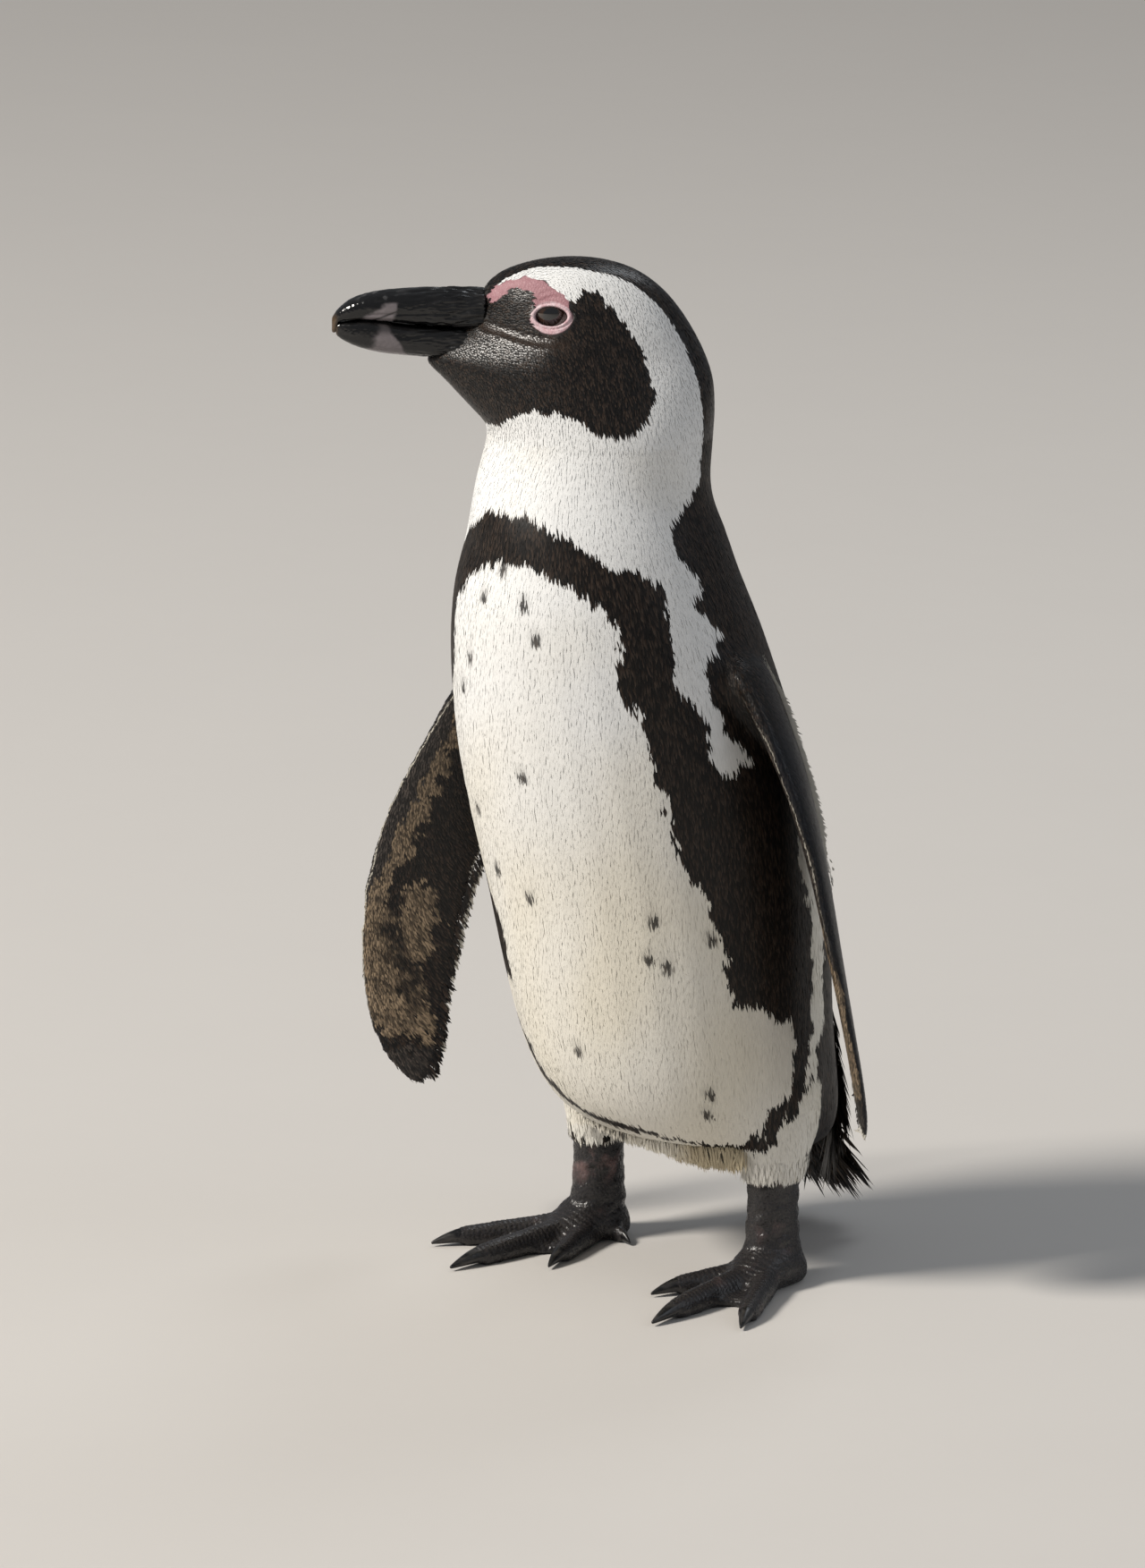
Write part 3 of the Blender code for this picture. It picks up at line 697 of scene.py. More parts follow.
def ellipse_share(forward, up, size):
    """1 on an ellipse round the eye, less inside it."""
    along = forward * math.cos(EYE_TILT) + up * math.sin(EYE_TILT)
    across = up * math.cos(EYE_TILT) - forward * math.sin(EYE_TILT)
    return ((np.abs(along) / size[0]) ** 1.9 + (np.abs(across) / size[1]) ** 1.9) ** (1 / 1.9)


def bare_face(points):
    """How pink and how pale-rimmed the bare skin over and round the eye is."""
    forward, left, up = FACE.place(points)
    sideways = np.abs(left) > 6
    pink = (inside(PINK_SKIN, *frayed_face(forward, up, points, 0.45, 0.3)) & sideways).astype(float)
    ring = (1 - smoothstep(0.94, 1.04, ellipse_share(forward, up + RING_LOWER, EYE_RING))) * sideways
    return np.maximum(pink, ring), ring


def flipper_tone(points, side):
    """Tan, grey and white shares of a flipper's plumage; the rest is black."""
    along, across, outward = BLADES[side].place(points)
    inner = outward < 0
    rear = across < -0.80
    across = frayed(across, points, (0.05, 0.010, 31), (0.05, 0.004, 32))
    along = frayed(along, points, (0.010, 0.008, 33))
    slanted = np.column_stack((along * 120 + across * 18, along * 24 - across * 3.6, 0 * along))
    across = across + 0.17 * wobble(slanted, 3.0, 36) * smoothstep(0.55, 0.2, across)
    tan = (inner & inside(BLADE_TAN, along, across)).astype(float)
    mottle = frayed(0.85, points, (0.25, 0.009, 34), (0.15, 0.004, 35))
    shade = 1 - smoothstep(0.02, 0.06, distance_to_line(BLADE_SHADE, along, across / 4)[0])
    tan *= np.where(along > 0.62, np.clip(mottle - 0.75 * shade, 0.05, 1), 0.95)
    grey = inner * (across > 0.55) * (along < 0.64) * 0.5 + inner * (along > 0.93) * 0.4
    trailing = rear & (along > 0.04) & (along < 0.60) & ~inner
    tip = (along > 0.972) & (side == "left")
    white = 0.85 * trailing + 0.8 * tip
    return np.clip(tan, 0, 1), np.clip(grey, 0, 1), np.clip(white, 0, 1)


def plumage_tones(points, kinds, part):
    """Shares of black, warmth, stain, tan, grey and navy of the plumage at some places."""
    tones = {name: np.zeros(len(points)) for name in TONES[:6]}
    head = kinds == "head"
    if head.any():
        tones["dark"][head] = head_dark(points[head])
    body = np.isin(kinds, ("neck", "trunk", "thigh"))
    if body.any():
        places = points[body]
        angle, height = TORSO.place(places)
        half = mirrored(angle)
        tones["dark"][body] = body_dark(places, kinds[body] == "thigh")
        warm = (1 - smoothstep(150, 300, height)) * 0.8 + 0.18 * wobble(places, 0.05, 51)
        tones["warm"][body] = np.clip(warm, 0, 1)
        low = (1 - smoothstep(52, 62, height)) * smoothstep(15, 38, half) * (1 - smoothstep(70, 95, half))
        stain = low * (0.75 + 0.25 * wobble(places, 0.012, 52))
        stain = stain * (places[:, 0] > TORSO.x) * (kinds[body] == "trunk")
        tones["stain"][body] = np.clip(stain, 0, 1)
    for side, blade in BLADES.items():
        chosen = (kinds == "flipper") & (part == blade.part)
        if chosen.any():
            tan, grey, white = flipper_tone(points[chosen], side)
            along, _, outward = blade.place(points[chosen])
            tones["dark"][chosen] = 1 - white
            tones["tan"][chosen] = tan
            tones["grey"][chosen] = grey
            tones["navy"][chosen] = (outward > 0) * 0.8 * smoothstep(0.08, 0.2, along)
            tones["warm"][chosen] = 0.7
    tones["dark"][kinds == "tail"] = 1
    return tones


# ---------------------------------------------------------------- materials

def join(tree, value, socket):
    """Link a node's output, or set a plain value, on an input."""
    if isinstance(value, bpy.types.NodeSocket):
        tree.links.new(value, socket)
    else:
        socket.default_value = (*value, 1.0) if socket.type == "RGBA" else value


def add_node(tree, kind, inputs=(), **settings):
    """Add a node with its settings and inputs."""
    made = tree.nodes.new(kind)
    for key, value in settings.items():
        setattr(made, key, value)
    for key, value in dict(inputs).items():
        join(tree, value, made.inputs[key])
    return made


class Shader:
    """A short way to lay out a node material."""

    def __init__(self, name):
        self.material = bpy.data.materials.new(name)
        self.material.use_nodes = True
        self.tree = self.material.node_tree
        self.surface = self.tree.nodes["Principled BSDF"]

    def node(self, kind, inputs=(), output=0, **settings):
        return add_node(self.tree, kind, inputs, **settings).outputs[output]

    def value(self, name):
        return self.node("ShaderNodeAttribute", output="Fac", attribute_name=name)

    def place(self, stretch):
        spot = self.node("ShaderNodeTexCoord", output="Object")
        return self.node("ShaderNodeMapping", {"Vector": spot, "Scale": stretch})

    def noise(self, scale, detail=3.0, stretch=(1, 1, 1)):
        spot = self.place(stretch)
        return self.node("ShaderNodeTexNoise", {"Vector": spot, "Scale": scale, "Detail": detail})

    def cells(self, scale):
        spot = self.place((1, 1, 1))
        return self.node("ShaderNodeTexVoronoi", {"Vector": spot, "Scale": scale}, "Distance")

    def times(self, first, second):
        return self.node("ShaderNodeMath", {0: first, 1: second}, operation="MULTIPLY")

    def plus(self, first, second):
        return self.node("ShaderNodeMath", {0: first, 1: second}, operation="ADD")

    def ramp(self, value, low, high, start=0.0, end=1.0):
        """A value spread from low..high to start..end, and held outside."""
        return self.node("ShaderNodeMapRange", {"Value": value, "From Min": low, "From Max": high,
                                                "To Min": start, "To Max": end}, clamp=True)

    def blend(self, share, first, second, mode="MIX"):
        inputs = {0: share, 6: first, 7: second}
        return self.node("ShaderNodeMix", inputs, 2, data_type="RGBA", blend_type=mode)

    def layered(self, colour, *layers):
        """A colour with others laid over it, each by its share."""
        for share, over in layers:
            colour = self.blend(share, colour, over)
        return colour

    def bump(self, height, strength, distance):
        return self.node("ShaderNodeBump", {"Height": height, "Strength": strength, "Distance": distance})

    def finish(self, **values):
        """Set or link the surface's own inputs."""
        for key, value in values.items():
            join(self.tree, value, self.surface.inputs[key.replace("_", " ")])
        return self.material


def feather_colour(shader, colours):
    """The plumage's colour from the values carried by skin and feathers alike."""
    dark, warm, stain, tan, grey, navy, fold, vary = (shader.value(name) for name in (*TONES, "vary"))
    shade = shader.ramp(vary, 0.0, 1.0, 0.95, 1.03)
    shade = shader.node("ShaderNodeCombineColor", {0: shade, 1: shade, 2: shade})
    white = shader.layered(colours.white, (warm, colours.cream), (stain, colours.stain))
    black = shader.layered(
        colours.black,
        (shader.ramp(vary, 0.45, 1.0, 0.0, 0.80), colours.brown),
        (shader.times(fold, 0.7), colours.brown),
        (navy, colours.navy),
        (shader.times(grey, shader.ramp(vary, 0.2, 0.9, 0.15, 1.0)), (0.085, 0.075, 0.068)),
        (shader.times(tan, shader.ramp(vary, 0.1, 0.75, 0.15, 1.0)), colours.tan))
    return shader.blend(dark, shader.blend(1.0, white, shade, "MULTIPLY"), black)


def coat_material(name, colours, rough_black, shine):
    """Feather vanes: matt white to silky black, paler along their tips, partly as worn tips and partly as a
    painted glint.
    """
    shader = Shader(name)
    # Paler tips: partly worn brownish tips, partly a painted glint at the end of each feather.
    tip = shader.ramp(shader.value("along"), 0.55, 1.0)
    tip = shader.times(tip, shader.ramp(shader.value("vary"), 0.3, 1.0))
    colour = shader.blend(shader.times(tip, 0.10), feather_colour(shader, colours), (0.42, 0.34, 0.28))
    barbs = shader.noise(900.0, 2.0, (1, 1, 0.2))
    rough = shader.ramp(shader.value("dark"), 0.0, 1.0, 0.52, rough_black)
    rough = shader.plus(rough, shader.ramp(barbs, 0.3, 0.7, -0.05, 0.05))
    return shader.finish(Base_Color=colour, Roughness=rough, Specular_IOR_Level=shine,
                         Normal=shader.bump(barbs, 0.25, 0.0002))


def skin_material(colours):
    """Skin under the coat, with bare pink over the eye and black scaly legs."""
    shader = Shader("penguin_skin")
    bare, leg = shader.value("pink"), shader.value("leg")
    pores = shader.cells(1150.0)
    pink = shader.layered(
        colours.pink,
        (shader.ramp(pores, 0.10, 0.30, 0.55, 0.0), (0.60, 0.42, 0.43)),
        (shader.ramp(shader.noise(260.0), 0.35, 0.7, 0.0, 0.45), (0.26, 0.10, 0.125)))
    lid = shader.blend(shader.ramp(shader.noise(420.0), 0.3, 0.7), colours.lid, (0.50, 0.30, 0.33))
    blotches = shader.times(shader.ramp(shader.noise(95.0, 4.0), 0.52, 0.68),
                            shader.ramp(shader.value("rosy"), 0.0, 1.0))
    scales = shader.layered(
        colours.leg, (blotches, colours.blotch),
        (shader.ramp(shader.value("groove"), 0.0, 1.0, 0.0, 0.5), (0.045, 0.038, 0.036)))
    colour = shader.layered(
        feather_colour(shader, colours), (bare, shader.blend(shader.value("ring"), pink, lid)),
        (leg, scales), (shader.value("socket"), (0.03, 0.012, 0.012)))
    rough = shader.plus(shader.ramp(leg, 0.0, 1.0, 0.62, 0.29),
                        shader.ramp(shader.noise(500.0), 0.3, 0.7, -0.10, 0.10))
    beads = {0: shader.noise(1400.0, 4.0), 1: shader.times(shader.cells(820.0), 1.3)}
    beads = shader.node("ShaderNodeMath", beads, operation="SUBTRACT")
    height = shader.plus(shader.times(leg, beads), shader.times(bare, pores))
    return shader.finish(Base_Color=colour, Roughness=rough, Specular_IOR_Level=0.45,
                         Normal=shader.bump(height, 0.5, 0.0003))


def bill_material(colours):
    """Polished black horn with a clouded pale band, a worn tip and painted speckled highlights along its top.
    """
    shader = Shader("bill_horn")
    fibres = shader.noise(420.0, 3.0, (0.25, 0.25, 1.0))
    band = shader.times(shader.value("band"), shader.ramp(shader.noise(120.0, 4.0), 0.25, 0.75, 0.65, 1.0))
    colour = shader.layered(
        colours.horn,
        (shader.ramp(fibres, 0.56, 0.72, 0.0, 0.35), (0.040, 0.036, 0.034)),
        (band, colours.band),
        (shader.value("tip"), (0.16, 0.095, 0.045)),
        # Painted highlight: pale grey speckles along the top of the upper bill stand in for its wet glints.
        (shader.value("ridge_highlight"), (0.16, 0.16, 0.165)))
    rough = shader.plus(shader.ramp(shader.value("base"), 0.0, 1.0, 0.14, 0.30),
                        shader.ramp(fibres, 0.3, 0.7, -0.05, 0.08))
    return shader.finish(Base_Color=colour, Roughness=rough, Specular_IOR_Level=0.45,
                         Normal=shader.bump(fibres, 0.45, 0.0003))


def claw_material(colours):
    """Smooth dark horn with faint lengthwise streaks."""
    shader = Shader("claw_horn")
    streaks = shader.noise(500.0, 3.0, (0.3, 0.3, 1.0))
    colour = shader.blend(shader.ramp(streaks, 0.45, 0.75, 0.0, 0.6), colours.horn, (0.075, 0.068, 0.064))
    return shader.finish(Base_Color=colour, Roughness=shader.ramp(streaks, 0.3, 0.7, 0.24, 0.38),
                         Specular_IOR_Level=0.5, Normal=shader.bump(streaks, 0.3, 0.0002))


def eye_material(colours):
    """Wet eye: black pupil and dark brown iris with a darker rim."""
    shader = Shader("penguin_eye")
    radius = shader.value("iris")
    fibres = shader.noise(700.0, 4.0)
    iris = shader.layered(colours.iris, (shader.ramp(fibres, 0.35, 0.7), (0.038, 0.016, 0.006)),
                          (shader.ramp(radius, 0.80, 1.0), (0.010, 0.006, 0.005)))
    colour = shader.blend(shader.ramp(radius, 0.44, 0.50), (0.003, 0.003, 0.004), iris)
    return shader.finish(Base_Color=colour, Roughness=shader.ramp(fibres, 0.0, 1.0, 0.02, 0.05),
                         Specular_IOR_Level=0.6, Coat_Weight=1.0, Coat_Roughness=0.02)


# ---------------------------------------------------------------- skin

def kinds_at(points):
    """Kind and number of the solid nearest to each point, and how far outside it is."""
    part, outside = part_of_points(points, FLESH)
    return KINDS[part], part, outside


def claw_base(toe, side):
    """A plane across a claw, with the part toward its tip cut away."""
    points = node_points(f"claw_{toe}_{side}")
    heel = np.array(middle_of("shank_" + side)) * np.array((1, 1, 0))
    reach = np.linalg.norm((points - heel)[:, :2], axis=1)
    tip, root = points[np.argmax(reach)], points[reach < reach.min() + 1.0 * MM].mean(axis=0)
    return Vector(root + (tip - root) * CUTICLE_SHARE), Vector(tip - root).normalized()


def flesh_mesh(sizes):
    """One even closed mesh over all the solids of flesh, closing the cuts between them."""
    shape = bmesh.new()
    for name in FLESH:
        add_solid(shape, name, BRIDGE * MM)
    core = (Vector(FACE.point(38, 0, 0)), Vector(FACE.ahead))
    for side in SIDES:
        add_solid(shape, "eye_" + side, -0.2 * MM)
    for name, (forward, up, slope) in SKIN_ON_BILL.items():
        add_solid(shape, name, -0.9 * MM, core)
        way = Vector(FACE.ahead) + Vector((0, 0, slope))
        add_solid(shape, name, SKIN_OVER_HORN * MM, (Vector(FACE.point(forward, 0, up)), way.normalized()))
    for side in SIDES:
        for toe in TOES:
            add_solid(shape, f"claw_{toe}_{side}", CUTICLE * MM, claw_base(toe, side))
    made = remeshed("skin", shape, sizes.skin_grain)
    drop_scraps(made.data)
    return made


def drop_scraps(mesh):
    """Delete every separate scrap of a mesh and keep its largest piece."""
    shape = bmesh.new()
    shape.from_mesh(mesh)
    unseen = set(shape.verts)
    pieces = []
    while unseen:
        piece = [unseen.pop()]
        for vertex in piece:
            beyond = [edge.other_vert(vertex) for edge in vertex.link_edges]
            beyond = [other for other in beyond if other in unseen]
            unseen.difference_update(beyond)
            piece += beyond
        pieces.append(piece)
    pieces.sort(key=len)
    scraps = [vertex for piece in pieces[:-1] for vertex in piece]
    bmesh.ops.delete(shape, geom=scraps, context="VERTS")
    shape.to_mesh(mesh)
    shape.free()


def smooth_skin(mesh, kinds, near):
    """Round off the solids' flat faces, hardest on the body, least on feet and flippers."""
    points = mesh_points(mesh)
    for phase, rounds in enumerate(SMOOTHING_STEPS):
        weight = np.zeros(len(points))
        for kind, values in SMOOTHING.items():
            weight[kinds == kind] = values[phase]
        points = near.relaxed(points, rounds, near.relaxed(weight, 14))
    return points


def sink_under_coat(points, normals, kinds, outside, near):
    """Set the skin in by the depth of the plumage over it."""
    depth = np.zeros(len(points))
    for kind, value in DEPTH.items():
        depth[kinds == kind] = value * MM
    depth = np.where((kinds == "head") & (bare_face(points)[0] > 0.4), BARE_DEPTH * MM, depth)
    depth = np.where(bare_leg(points, kinds), 0.0, depth)
    soft = np.isin(kinds, ("trunk", "neck", "thigh", "head")).astype(float)
    inward = near.relaxed(depth, 5) + near.relaxed(soft, 10) * near.relaxed(outside, 40)
    return points - normals * inward[:, None]


def stump_of_tail(points, kinds):
    """Draw the flesh of the tail in to a short stump inside its feathers."""
    offset = points - TAIL_ROOT
    along = offset @ TAIL_WAY
    share = np.clip(along / TAIL_SPAN, 0, 1)
    pull = smoothstep(0.12, 0.5, share) * (kinds == "tail")
    off_axis = offset - along[:, None] * TAIL_WAY
    drawn = TAIL_ROOT + TAIL_WAY * (along * (1 - 0.30 * share))[:, None] + off_axis * 0.45
    return points + (drawn - points) * pull[:, None]


def refine(mesh, chosen):
    """Split the edges between chosen points."""
    shape = bmesh.new()
    shape.from_mesh(mesh)
    shape.verts.ensure_lookup_table()
    edges = [edge for edge in shape.edges if chosen[edge.verts[0].index] and chosen[edge.verts[1].index]]
    bmesh.ops.subdivide_edges(shape, edges=edges, cuts=1, use_grid_fill=True)
    bmesh.ops.triangulate(shape, faces=[face for face in shape.faces if len(face.verts) > 4])
    shape.to_mesh(mesh)
    shape.free()


def refine_details(mesh, points, kinds):
    """Finer points over the legs and the side of the face, and finer still round the eyes."""
    forward, left, up = FACE.place(points)
    cheek = (np.abs(left) > 8) & (np.abs(forward - 8) < 26) & (np.abs(up - 1) < 19)
    refine(mesh, (cheek & (kinds == "head")) | (bare_leg(points, kinds) & (points[:, 2] > 1.0 * MM)))
    points = mesh_points(mesh)
    forward, left, up = FACE.place(points)
    by_eye = (np.abs(left) > 8) & (np.abs(forward) < 12) & (np.abs(up) < 9.5)
    refine(mesh, by_eye & (kinds_at(points)[0] == "head"))


def shape_lids(points, normals):
    """Sink the eye openings, raise the lids round them and fold the skin above."""
    forward, left, up = FACE.place(points)
    near = (np.abs(left) > 9) & (np.abs(forward) < 22) & (np.abs(up) < 18)
    opening = ellipse_share(forward, up, EYE_OPENING)
    lid = 0.60 * hump(opening, 1.17, 0.13) + 0.16 * hump(opening, 1.52, 0.10)
    lid -= 0.22 * hump(opening, 1.36, 0.06)
    crease = np.sin((np.hypot(forward + 3, up + 6)) * 2.6) * smoothstep(4.0, 6.5, up) * (opening < 3.2)
    lid += 0.10 * crease * (forward < 5)
    lid -= 3.9 * (1 - smoothstep(0.93, 1.05, opening))
    return points + normals * (lid * near * MM)[:, None], near & (opening < 1.0)


def shape_gape(points, normals):
    """Raise the soft fold that runs back from the corner of the mouth."""
    forward, left, up = FACE.place(points)
    apart, share = distance_to_line(GAPE_FOLD, forward, up)
    side = np.abs(left) > 5
    ridge = 0.17 * hump(apart, 0, 0.9) - 0.16 * hump(apart, 2.2, 0.9)
    ridge *= (1 - smoothstep(0.65, 1.0, share)) * side
    return points + normals * (ridge * MM)[:, None], hump(apart, 0, 2.4) * side


def scute_borders(points, rng):
    """0 inside horny scales and 1 in the grooves between them, over the legs."""
    spacing = SCUTE_SIZE * MM
    chosen = rng.permutation(len(points))
    cell = np.floor(points[chosen] / spacing).astype(np.int64)
    key = cell[:, 0] * 1000003 + cell[:, 1] * 10007 + cell[:, 2]
    seeds = points[chosen[np.unique(key, return_index=True)[1]]]
    tree = KDTree(len(seeds))
    for i, seed in enumerate(seeds.tolist()):
        tree.insert(seed, i)
    tree.balance()
    gap = np.zeros(len(points))
    for i, point in enumerate(points.tolist()):
        first, second = tree.find_n(point, 2)
        gap[i] = second[2] - first[2]
    return 1 - smoothstep(0.0, 0.30 * spacing, gap)


def toe_rings(points):
    """Cross rows of narrow scutes along the tops of the toes."""
    rows = np.zeros(len(points))
    for side in SIDES:
        heel = np.array(middle_of("shank_" + side))
        apart = np.linalg.norm((points - heel)[:, :2], axis=1) / MM
        near = np.abs(points[:, 0] - heel[0]) < 0.048
        rows[near] = (0.5 + 0.5 * np.cos(apart[near] * 2 * math.pi / TOE_RING_STEP)) ** 3
    return rows


def bare_leg(points, kinds):
    """Which points are bare skin of the legs and feet."""
    hem = np.where(points[:, 0] > TORSO.x, HEM["left"][0], HEM["right"][0]) * MM
    hem = hem + 1.0 * MM * wobble(points, 0.008, 42)
    return np.isin(kinds, ("foot", "shank")) | ((kinds == "thigh") & (points[:, 2] < hem))


def shape_legs(points, normals, kinds):
    """Scales, rings and wrinkles of the bare legs; the soles stay flat."""
    leg = bare_leg(points, kinds)
    groove = np.zeros(len(points))
    groove[leg] = scute_borders(points[leg], np.random.default_rng(7))
    toe = smoothstep(17 * MM, 11 * MM, points[:, 2]) * (kinds == "foot") * smoothstep(0.2, 0.6, normals[:, 2])
    groove = groove * (1 - 0.7 * toe) + toe_rings(points) * toe
    wrinkle = wobble(points * np.array((0.5, 0.5, 1.5)), 0.0065, 41) * (points[:, 2] > 12 * MM)
    height = (0.12 - 0.32 * groove + 0.30 * wrinkle) * smoothstep(0.8 * MM, 2.2 * MM, points[:, 2])
    height[~leg] = 0
    return points + normals * (height * MM)[:, None], groove, leg


def lie_of_coat(points, normals, kinds, part, near):
    """The way the feathers point at every point of the skin, along the surface."""
    reach = np.linalg.norm(points - FACE.point(28, 0, -8), axis=1) / MM
    share = smoothstep(8, 62, reach)[:, None]
    down = np.array((0.0, 0.0, -1.0))
    lie = unit(unit(points - BILL_TIP) * (1 - 0.8 * share) + down * 0.9 * share)
    lie[np.isin(kinds, ("trunk", "neck", "thigh"))] = unit(np.array((0.0, 0.16, -1.0)))
    lie[kinds == "tail"] = TAIL_WAY
    for blade in BLADES.values():
        chosen = part == blade.part
        _, across, _ = blade.place(points[chosen])
        _, chord, _, tipward = blade.at(points[chosen][:, 2])
        slant = np.interp(across, (-0.8, -0.1, 0.6, 1.0), (1.0, 0.75, 0.35, 0.20))
        lie[chosen] = unit(tipward - slant[:, None] * chord)
    return along_surface(near.relaxed(lie, 24), normals)


def shape_details(mesh):
    """Lids, gape fold and scutes, then the values that materials and feathers read."""
    points = mesh_points(mesh)
    kinds, part, _ = kinds_at(points)
    near = Neighbours(mesh)
    normals = unit(near.relaxed(mesh_normals(mesh), 3))
    points, socket = shape_lids(points, normals)
    points, fold = shape_gape(points, normals)
    points, groove, leg = shape_legs(points, normals, kinds)
    points[:, 2] = np.maximum(points[:, 2], 0.0)
    set_points(mesh, points)
    head = kinds == "head"
    pink, ring = bare_face(points)
    height = points[:, 2]
    rosy = smoothstep(22 * MM, 36 * MM, height) + 0.35 * smoothstep(0.2, 0.8, wobble(points, 0.02, 61))
    values = {**plumage_tones(points, kinds, part), "vary": np.full(len(points), 0.4), "pink": pink * head,
              "ring": ring * head, "leg": near.relaxed(leg.astype(float), 2), "groove": groove,
              "rosy": rosy * leg, "fold": fold * head, "socket": socket, "part": part, "bare": leg,
              "lie": lie_of_coat(points, unit(near.relaxed(mesh_normals(mesh), 6)), kinds, part, near)}
    for name, value in values.items():
        set_value(mesh, name, value)


class PENGUIN_OT_skin(bpy.types.Operator):
    """Grow one skin over all the solids of flesh, with lids, folds and scaly legs"""
    bl_idname = "penguin.skin"
    bl_label = "Skin"

    def execute(self, context):
        skin = flesh_mesh(context.scene.penguin_sizes)
        mesh = skin.data
        near = Neighbours(mesh)
        kinds, _, _ = kinds_at(mesh_points(mesh))
        points = smooth_skin(mesh, kinds, near)
        kinds, _, outside = kinds_at(points)
        set_points(mesh, points)
        points = sink_under_coat(points, mesh_normals(mesh), kinds, outside, near)
        points = stump_of_tail(points, kinds)
        set_points(mesh, points)
        refine_details(mesh, points, kinds)
        shape_details(mesh)
        mesh.shade_smooth()
        finished(skin, skin_material(context.scene.penguin_colours), FLESH)
        return {"FINISHED"}


# ---------------------------------------------------------------- feathers

class Skin:
    """The finished skin: its points, the parts they belong to, and its surface to lay feathers along."""

    def __init__(self):
        self.mesh = bpy.data.objects["skin"].data
        self.points, self.normals = mesh_points(self.mesh), mesh_normals(self.mesh)
        self.part = np.rint(self.value("part")).astype(int)
        self.kinds = KINDS[self.part]
        self.surface = surface_of(self.mesh)

    def value(self, name):
        return get_value(self.mesh, name)

    def laid(self, points, normals):
        """Points dropped to the skin where it faces the same way, and its normals there."""
        landed, facing = points.copy(), normals.copy()
        for i, (point, normal) in enumerate(zip(points.tolist(), normals.tolist())):
            found, toward, _, _ = self.surface.find_nearest(point)
            if toward[0] * normal[0] + toward[1] * normal[1] + toward[2] * normal[2] > 0.6:
                landed[i] = found
                facing[i] = toward
        return landed, facing


class Roots:
    """Places where feathers grow, with the way out and the way the feather lies."""

    def __init__(self, points, normals, lie, part, fold=0.0):
        self.points, self.normals, self.fold = points, unit(normals), fold
        self.lie = along_surface(lie, self.normals)
        self.count = len(points)
        self.part = np.broadcast_to(part, self.count)
        self.kinds = KINDS[self.part]


def roots_on_skin(chosen, spacing, seed):
    """Roots scattered evenly over the chosen points of the skin."""
    skin = bpy.data.objects["skin"]
    set_value(skin.data, "plant", chosen)
    step = skin.modifiers.new("Roots", "NODES")
    group = root_nodes(spacing, seed)
    step.node_group = group
    mesh = evaluated(skin)
    skin.modifiers.remove(step)
    bpy.data.node_groups.remove(group)
    roots = Roots(mesh_points(mesh), get_value(mesh, "root_normal"), get_value(mesh, "lie"),
                  np.rint(get_value(mesh, "part")).astype(int), get_value(mesh, "fold"))
    bpy.data.meshes.remove(mesh)
    return roots


def root_nodes(spacing, seed):
    """Node group that scatters points over the skin where plant is one."""
    group = bpy.data.node_groups.new("Feather roots", "GeometryNodeTree")
    for way in ("INPUT", "OUTPUT"):
        group.interface.new_socket("Geometry", in_out=way, socket_type="NodeSocketGeometry")
    entry = add_node(group, "NodeGroupInput")
    plant = add_node(group, "GeometryNodeInputNamedAttribute", {"Name": "plant"}, data_type="FLOAT")
    scatter = add_node(group, "GeometryNodeDistributePointsOnFaces",
                       {"Mesh": entry.outputs[0], "Density Factor": plant.outputs["Attribute"],
                        "Distance Min": spacing, "Density Max": 3.2 / spacing ** 2, "Seed": seed},
                       distribute_method="POISSON")
    keep = add_node(group, "GeometryNodeStoreNamedAttribute",
                    {"Geometry": scatter.outputs["Points"], "Name": "root_normal",
                     "Value": scatter.outputs["Normal"]}, data_type="FLOAT_VECTOR", domain="POINT")
    turn = add_node(group, "GeometryNodePointsToVertices", {"Points": keep.outputs["Geometry"]})
    add_node(group, "NodeGroupOutput", {0: turn.outputs["Mesh"]})
    return group


def vane_points(roots, laid, length, look, rng, rows, curl=0.0, unruly=1.0):
    """Points of all feathers, one row of the result to a feather."""
    width, rise = look
    spin = rng.normal(0, 0.11 * unruly, roots.count)[:, None]
    side = np.cross(roots.normals, roots.lie)
    way = unit(roots.lie * np.cos(spin) + side * np.sin(spin))
    side = np.cross(roots.normals, way)
    length = length * rng.uniform(1 - 0.12 * unruly, 1 + 0.12 * unruly, roots.count)
    width = width * MM * rng.uniform(0.8, 1.2, roots.count)
    rise = rise * MM * rng.uniform(0.90, 1.10, roots.count)
    places = [roots.points - roots.normals * ROOT_DEPTH * MM]
    for share, wide, high in (*rows, (1.0, 0.0, 1.0)):
        spot, normal = roots.points + way * (length * share)[:, None], roots.normals
        if laid:
            spot, normal = laid(spot, normal)
        centre = spot + (rise * high + curl * share ** 3)[:, None] * normal
        if wide:
            edge = side * (width * wide / 2)[:, None]
            places += [centre - edge, centre + normal * (width * KEEL)[:, None], centre + edge]
        else:
            places.append(centre)
    return np.stack(places, axis=1)


def vane_faces(rows):
    """Triangles of one feather with this many rows of three points."""
    faces = [(0, 2, 1), (0, 3, 2)]
    last = 3 * rows - 2
    for a in range(1, last, 3):
        b = a + 3
        faces += [(a, a + 1, b), (a + 1, b + 1, b), (a + 1, a + 2, b + 1), (a + 2, b + 2, b + 1)]
    faces += [(last, last + 1, last + 3), (last + 1, last + 2, last + 3)]
    return np.array(faces)[:, ::-1]


def patch_shape(rows):
    """Across and along of each point of a feather, for its patch on the map."""
    spots = [(across, share) for share, _, _ in rows for across in (0.0, 0.5, 1.0)]
    return np.array([(0.5, 0.0), *spots, (0.5, 1.0)])


